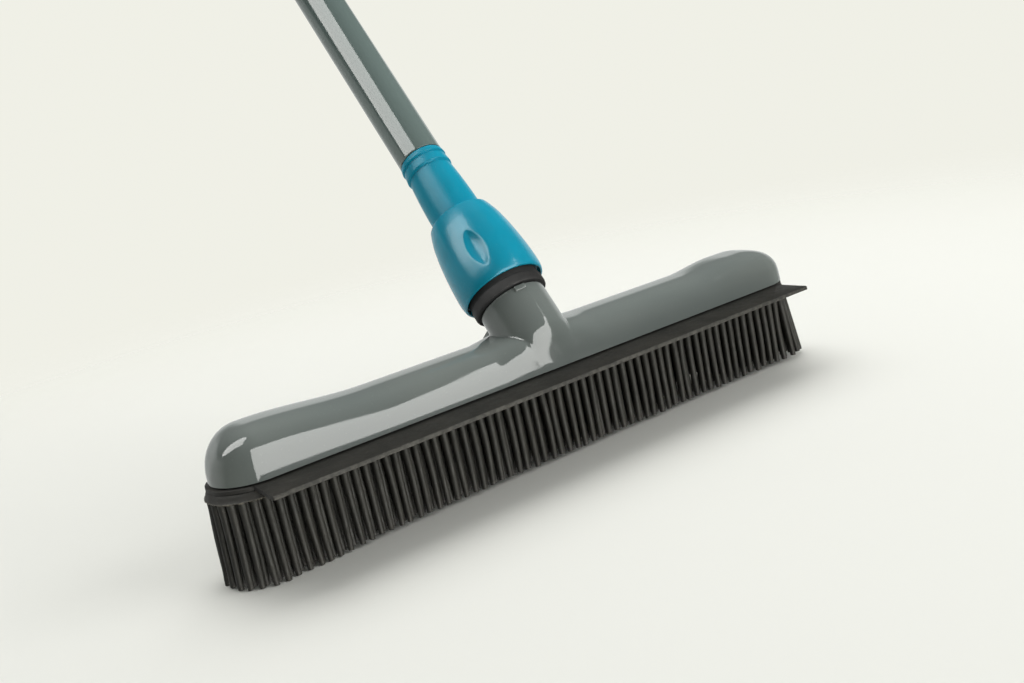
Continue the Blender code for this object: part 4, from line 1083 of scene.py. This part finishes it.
def make_neck_tab(material):
    """The small catch on the neck's rim."""
    width = 5.6 * MM
    height = 2.4 * MM
    depth = 1.2 * MM
    proud = 0.6 * MM
    edge = 0.25 * MM
    mesh = bpy.data.meshes.new("neck_rim_tab")
    with opened(mesh) as shape:
        bmesh.ops.create_cube(shape, size=1.0, matrix=Matrix.Diagonal((depth, width, height, 1)))
        rims = shape.edges[:]
        bmesh.ops.bevel(shape, geom=rims, offset=edge, segments=3, profile=0.5, affect="EDGES")
    mesh.shade_smooth()
    piece = linked("neck_rim_tab", mesh)
    reach = NECK_RADIUS + proud - depth / 2
    lift = NECK_TOP - (NECK_EDGE + height) / 2
    turn = Matrix.Rotation(math.radians(-99), 4, "Z")
    mesh.transform(NECK @ turn @ Matrix.Translation((reach, 0, lift)))
    dress(piece, material, "head", "housing_grey", "head_housing")


def keep_node(name, material):
    """A CAD node that stays as it is gets a worked-out material."""
    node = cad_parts[name]
    node.data.materials.clear()
    node.data.materials.append(material)


def direction(turn, rise):
    """A direction turned from -Y about the upright axis and raised above the floor."""
    flat = math.cos(rise)
    return Vector((flat * math.sin(turn), -flat * math.cos(turn), math.sin(rise)))


def place_camera():
    """The camera at the place and angle of the photograph's."""
    back = direction(CAMERA_TURN, CAMERA_HEIGHT)
    right = Vector((0, 0, 1)).cross(back).normalized()
    up = back.cross(right)
    across = right * math.cos(CAMERA_ROLL) + up * math.sin(CAMERA_ROLL)
    above = up * math.cos(CAMERA_ROLL) - right * math.sin(CAMERA_ROLL)
    data = bpy.data.cameras.new("camera")
    data.sensor_width = SENSOR_WIDTH
    data.lens = FOCAL_PIXELS * SENSOR_WIDTH / PICTURE_WIDTH
    data.shift_x = (PICTURE_WIDTH / 2 - CENTRE_PIXEL[0]) / PICTURE_WIDTH
    data.shift_y = (CENTRE_PIXEL[1] - PICTURE_HEIGHT / 2) / PICTURE_WIDTH
    data.clip_start = 0.01
    data.clip_end = 50
    camera = linked("camera", data)
    stand = Matrix((across, above, back)).transposed().to_4x4()
    offset = across * CAMERA_OFFSET[0] + above * CAMERA_OFFSET[1]
    stand.translation = CAMERA_AIM + back * CAMERA_DISTANCE + offset
    camera.matrix_world = stand
    bpy.context.scene.camera = camera


def softbox(name, place, aim, size, power):
    """A rectangular studio light that neither the camera nor any gloss sees."""
    data = bpy.data.lights.new(name, "AREA")
    data.shape = "RECTANGLE"
    data.size, data.size_y = size
    data.energy = power
    light = linked(name, data)
    facing = Vector(aim) - Vector(place)
    turn = facing.to_track_quat("-Z", "Y").to_matrix().to_4x4()
    light.matrix_world = Matrix.Translation(place) @ turn
    light.visible_camera = False
    light.visible_glossy = False


def make_floor():
    """A wide pale floor that fades into the backdrop far from the object."""
    mesh = bpy.data.meshes.new("floor")
    with opened(mesh) as shape:
        bmesh.ops.create_circle(shape, cap_ends=True, segments=96, radius=FLOOR_RADIUS)
    floor = linked("floor", mesh)
    floor.location = (0, 0, -0.02 * MM)
    look = Finish("floor")
    look.surface(Base_Color=FLOOR_COLOUR, Roughness=0.9, Specular_IOR_Level=0.1)
    length = look.node("ShaderNodeVectorMath", {0: look.place}, operation="LENGTH")
    look.surface(Alpha=look.band(length.outputs["Value"], *FLOOR_FADE, 1.0, 0.0, True))
    floor.data.materials.append(look.material)
    floor.visible_glossy = False


def make_card(name, corners, strength):
    """A bright card far away, seen only in reflections, with its corners as (turn, rise)."""
    angles = [(math.radians(turn), math.radians(rise)) for turn, rise in corners]
    spots = [direction(turn, rise) * CARD_REACH for turn, rise in angles]
    middle = sum(spots, Vector()) / len(spots)
    count = len(spots)
    faces = [(index, (index + 1) % count, count) for index in range(count)]
    card = mesh_object(name, spots + [middle], faces)
    look = Finish(name)
    look.surface(Base_Color=(0, 0, 0, 1), Specular_IOR_Level=0.0)
    look.surface(Emission_Color=CARD_COLOUR, Emission_Strength=strength)
    card.data.materials.append(look.material)
    for ray in ("camera", "diffuse", "shadow", "transmission"):
        setattr(card, f"visible_{ray}", False)


def make_world():
    """A pale backdrop for the eye, light that is stronger from the right, and, for gloss, a dim
    room with a bright low backdrop."""
    world = bpy.data.worlds.new("studio")
    bpy.context.scene.world = world
    world.use_nodes = True
    world.node_tree.nodes.clear()
    sky = Nodes(world.node_tree)

    def light(colour, strength):
        inputs = {"Color": colour, "Strength": strength}
        return sky.node("ShaderNodeBackground", inputs).outputs[0]

    def choose(test, otherwise, chosen):
        inputs = {0: path[test], 1: otherwise, 2: chosen}
        return sky.node("ShaderNodeMixShader", inputs).outputs[0]

    path = sky.node("ShaderNodeLightPath").outputs
    place = sky.node("ShaderNodeTexCoord").outputs["Generated"]
    sides = sky.node("ShaderNodeSeparateXYZ", {0: place}).outputs
    low = sky.band(sides["Z"], 0.25, 0.34, 1.0, 0.0)
    behind = sky.band(sides["Y"], 0.0, 0.4)
    bright = sky.math("MULTIPLY", low, behind)
    room = light(ROOM_COLOUR, sky.band(bright, 0.0, 1.0, 0.14, 0.85))
    even = light(ROOM_COLOUR, sky.band(sides["X"], -0.9, 0.1, 0.2, 0.48))
    lit = choose("Is Glossy Ray", even, room)
    seen = choose("Is Camera Ray", lit, light(BACKDROP_COLOUR, 1.0))
    sky.node("ShaderNodeOutputWorld", {0: seen})


bpy.context.scene.view_settings.view_transform = "Standard"
place_camera()
make_world()
softbox("key", place=(0.3, 0.85, 1.9), aim=(0.05, -0.1, 0.05), size=(2.2, 2.0), power=41)
softbox("front", place=(1.2, -1.3, 0.8), aim=(0, 0, 0.05), size=(1.4, 1.2), power=21)
make_card("front_card", FRONT_CARD, 7.5)
make_card("left_card", LEFT_CARD, 8.0)
make_floor()

GREY = grey_plastic()
TEAL = teal_plastic("collar teal", 0.2, 0.32)
SLEEVE_TEAL = teal_plastic("sleeve teal", 0.3, 0.16)
LIP_EDGE = ("Y", -39.3 * MM, -38.2 * MM, linear(80, 78, 71))
PAD_FLASH = ("Z", 35.6 * MM, 36.9 * MM, linear(150, 145, 130))
# Painted shade: the sheet's copy of the rubber is painted at half brightness, darker than the strands'
# copy, to darken its top where the key light falls on it.
SHEET_RUBBER_WITH_PAINTED_SHADE = rubber("sheet rubber", 0.5, LIP_EDGE)
STRAND_RUBBER = rubber("strand rubber", 0.6, PAD_FLASH)
GRIP_RUBBER = rubber("grip rubber")
PAINT = tube_paint()
RING_BLACK = plain_plastic("ring black", linear(5, 4, 3), linear(10, 8, 7), 0.7)
PLATE_BLACK = plain_plastic("plate black", linear(26, 26, 26), linear(34, 34, 33), 0.42)
CAM_PALE = plain_plastic("cam pale", linear(198, 198, 190), linear(212, 211, 203), 0.4)
ZINC = zinc()

make_housing(GREY)
make_neck_tab(GREY)
make_sheet(SHEET_RUBBER_WITH_PAINTED_SHADE)
make_strands(STRAND_RUBBER)
make_neck_ring(RING_BLACK)
make_collar(TEAL)
make_sleeve(SLEEVE_TEAL)
make_tube("outer_pole", 11.5, 110.2, 733.2, PAINT, "head", "lower_tube")
make_guide(TEAL)
make_tube("inner_pole", 9.5, 182.7, 895.7, PAINT, "upper_pole", "upper_tube")
make_grip(GRIP_RUBBER)
make_cap(TEAL)
keep_node("base_plate", PLATE_BLACK)
keep_node("tension_washer", GRIP_RUBBER)
keep_node("cam_sleeve", CAM_PALE)
keep_node("cam_plug", CAM_PALE)
for number in range(1, 5):
    keep_node(f"plate_screw_{number}", ZINC)
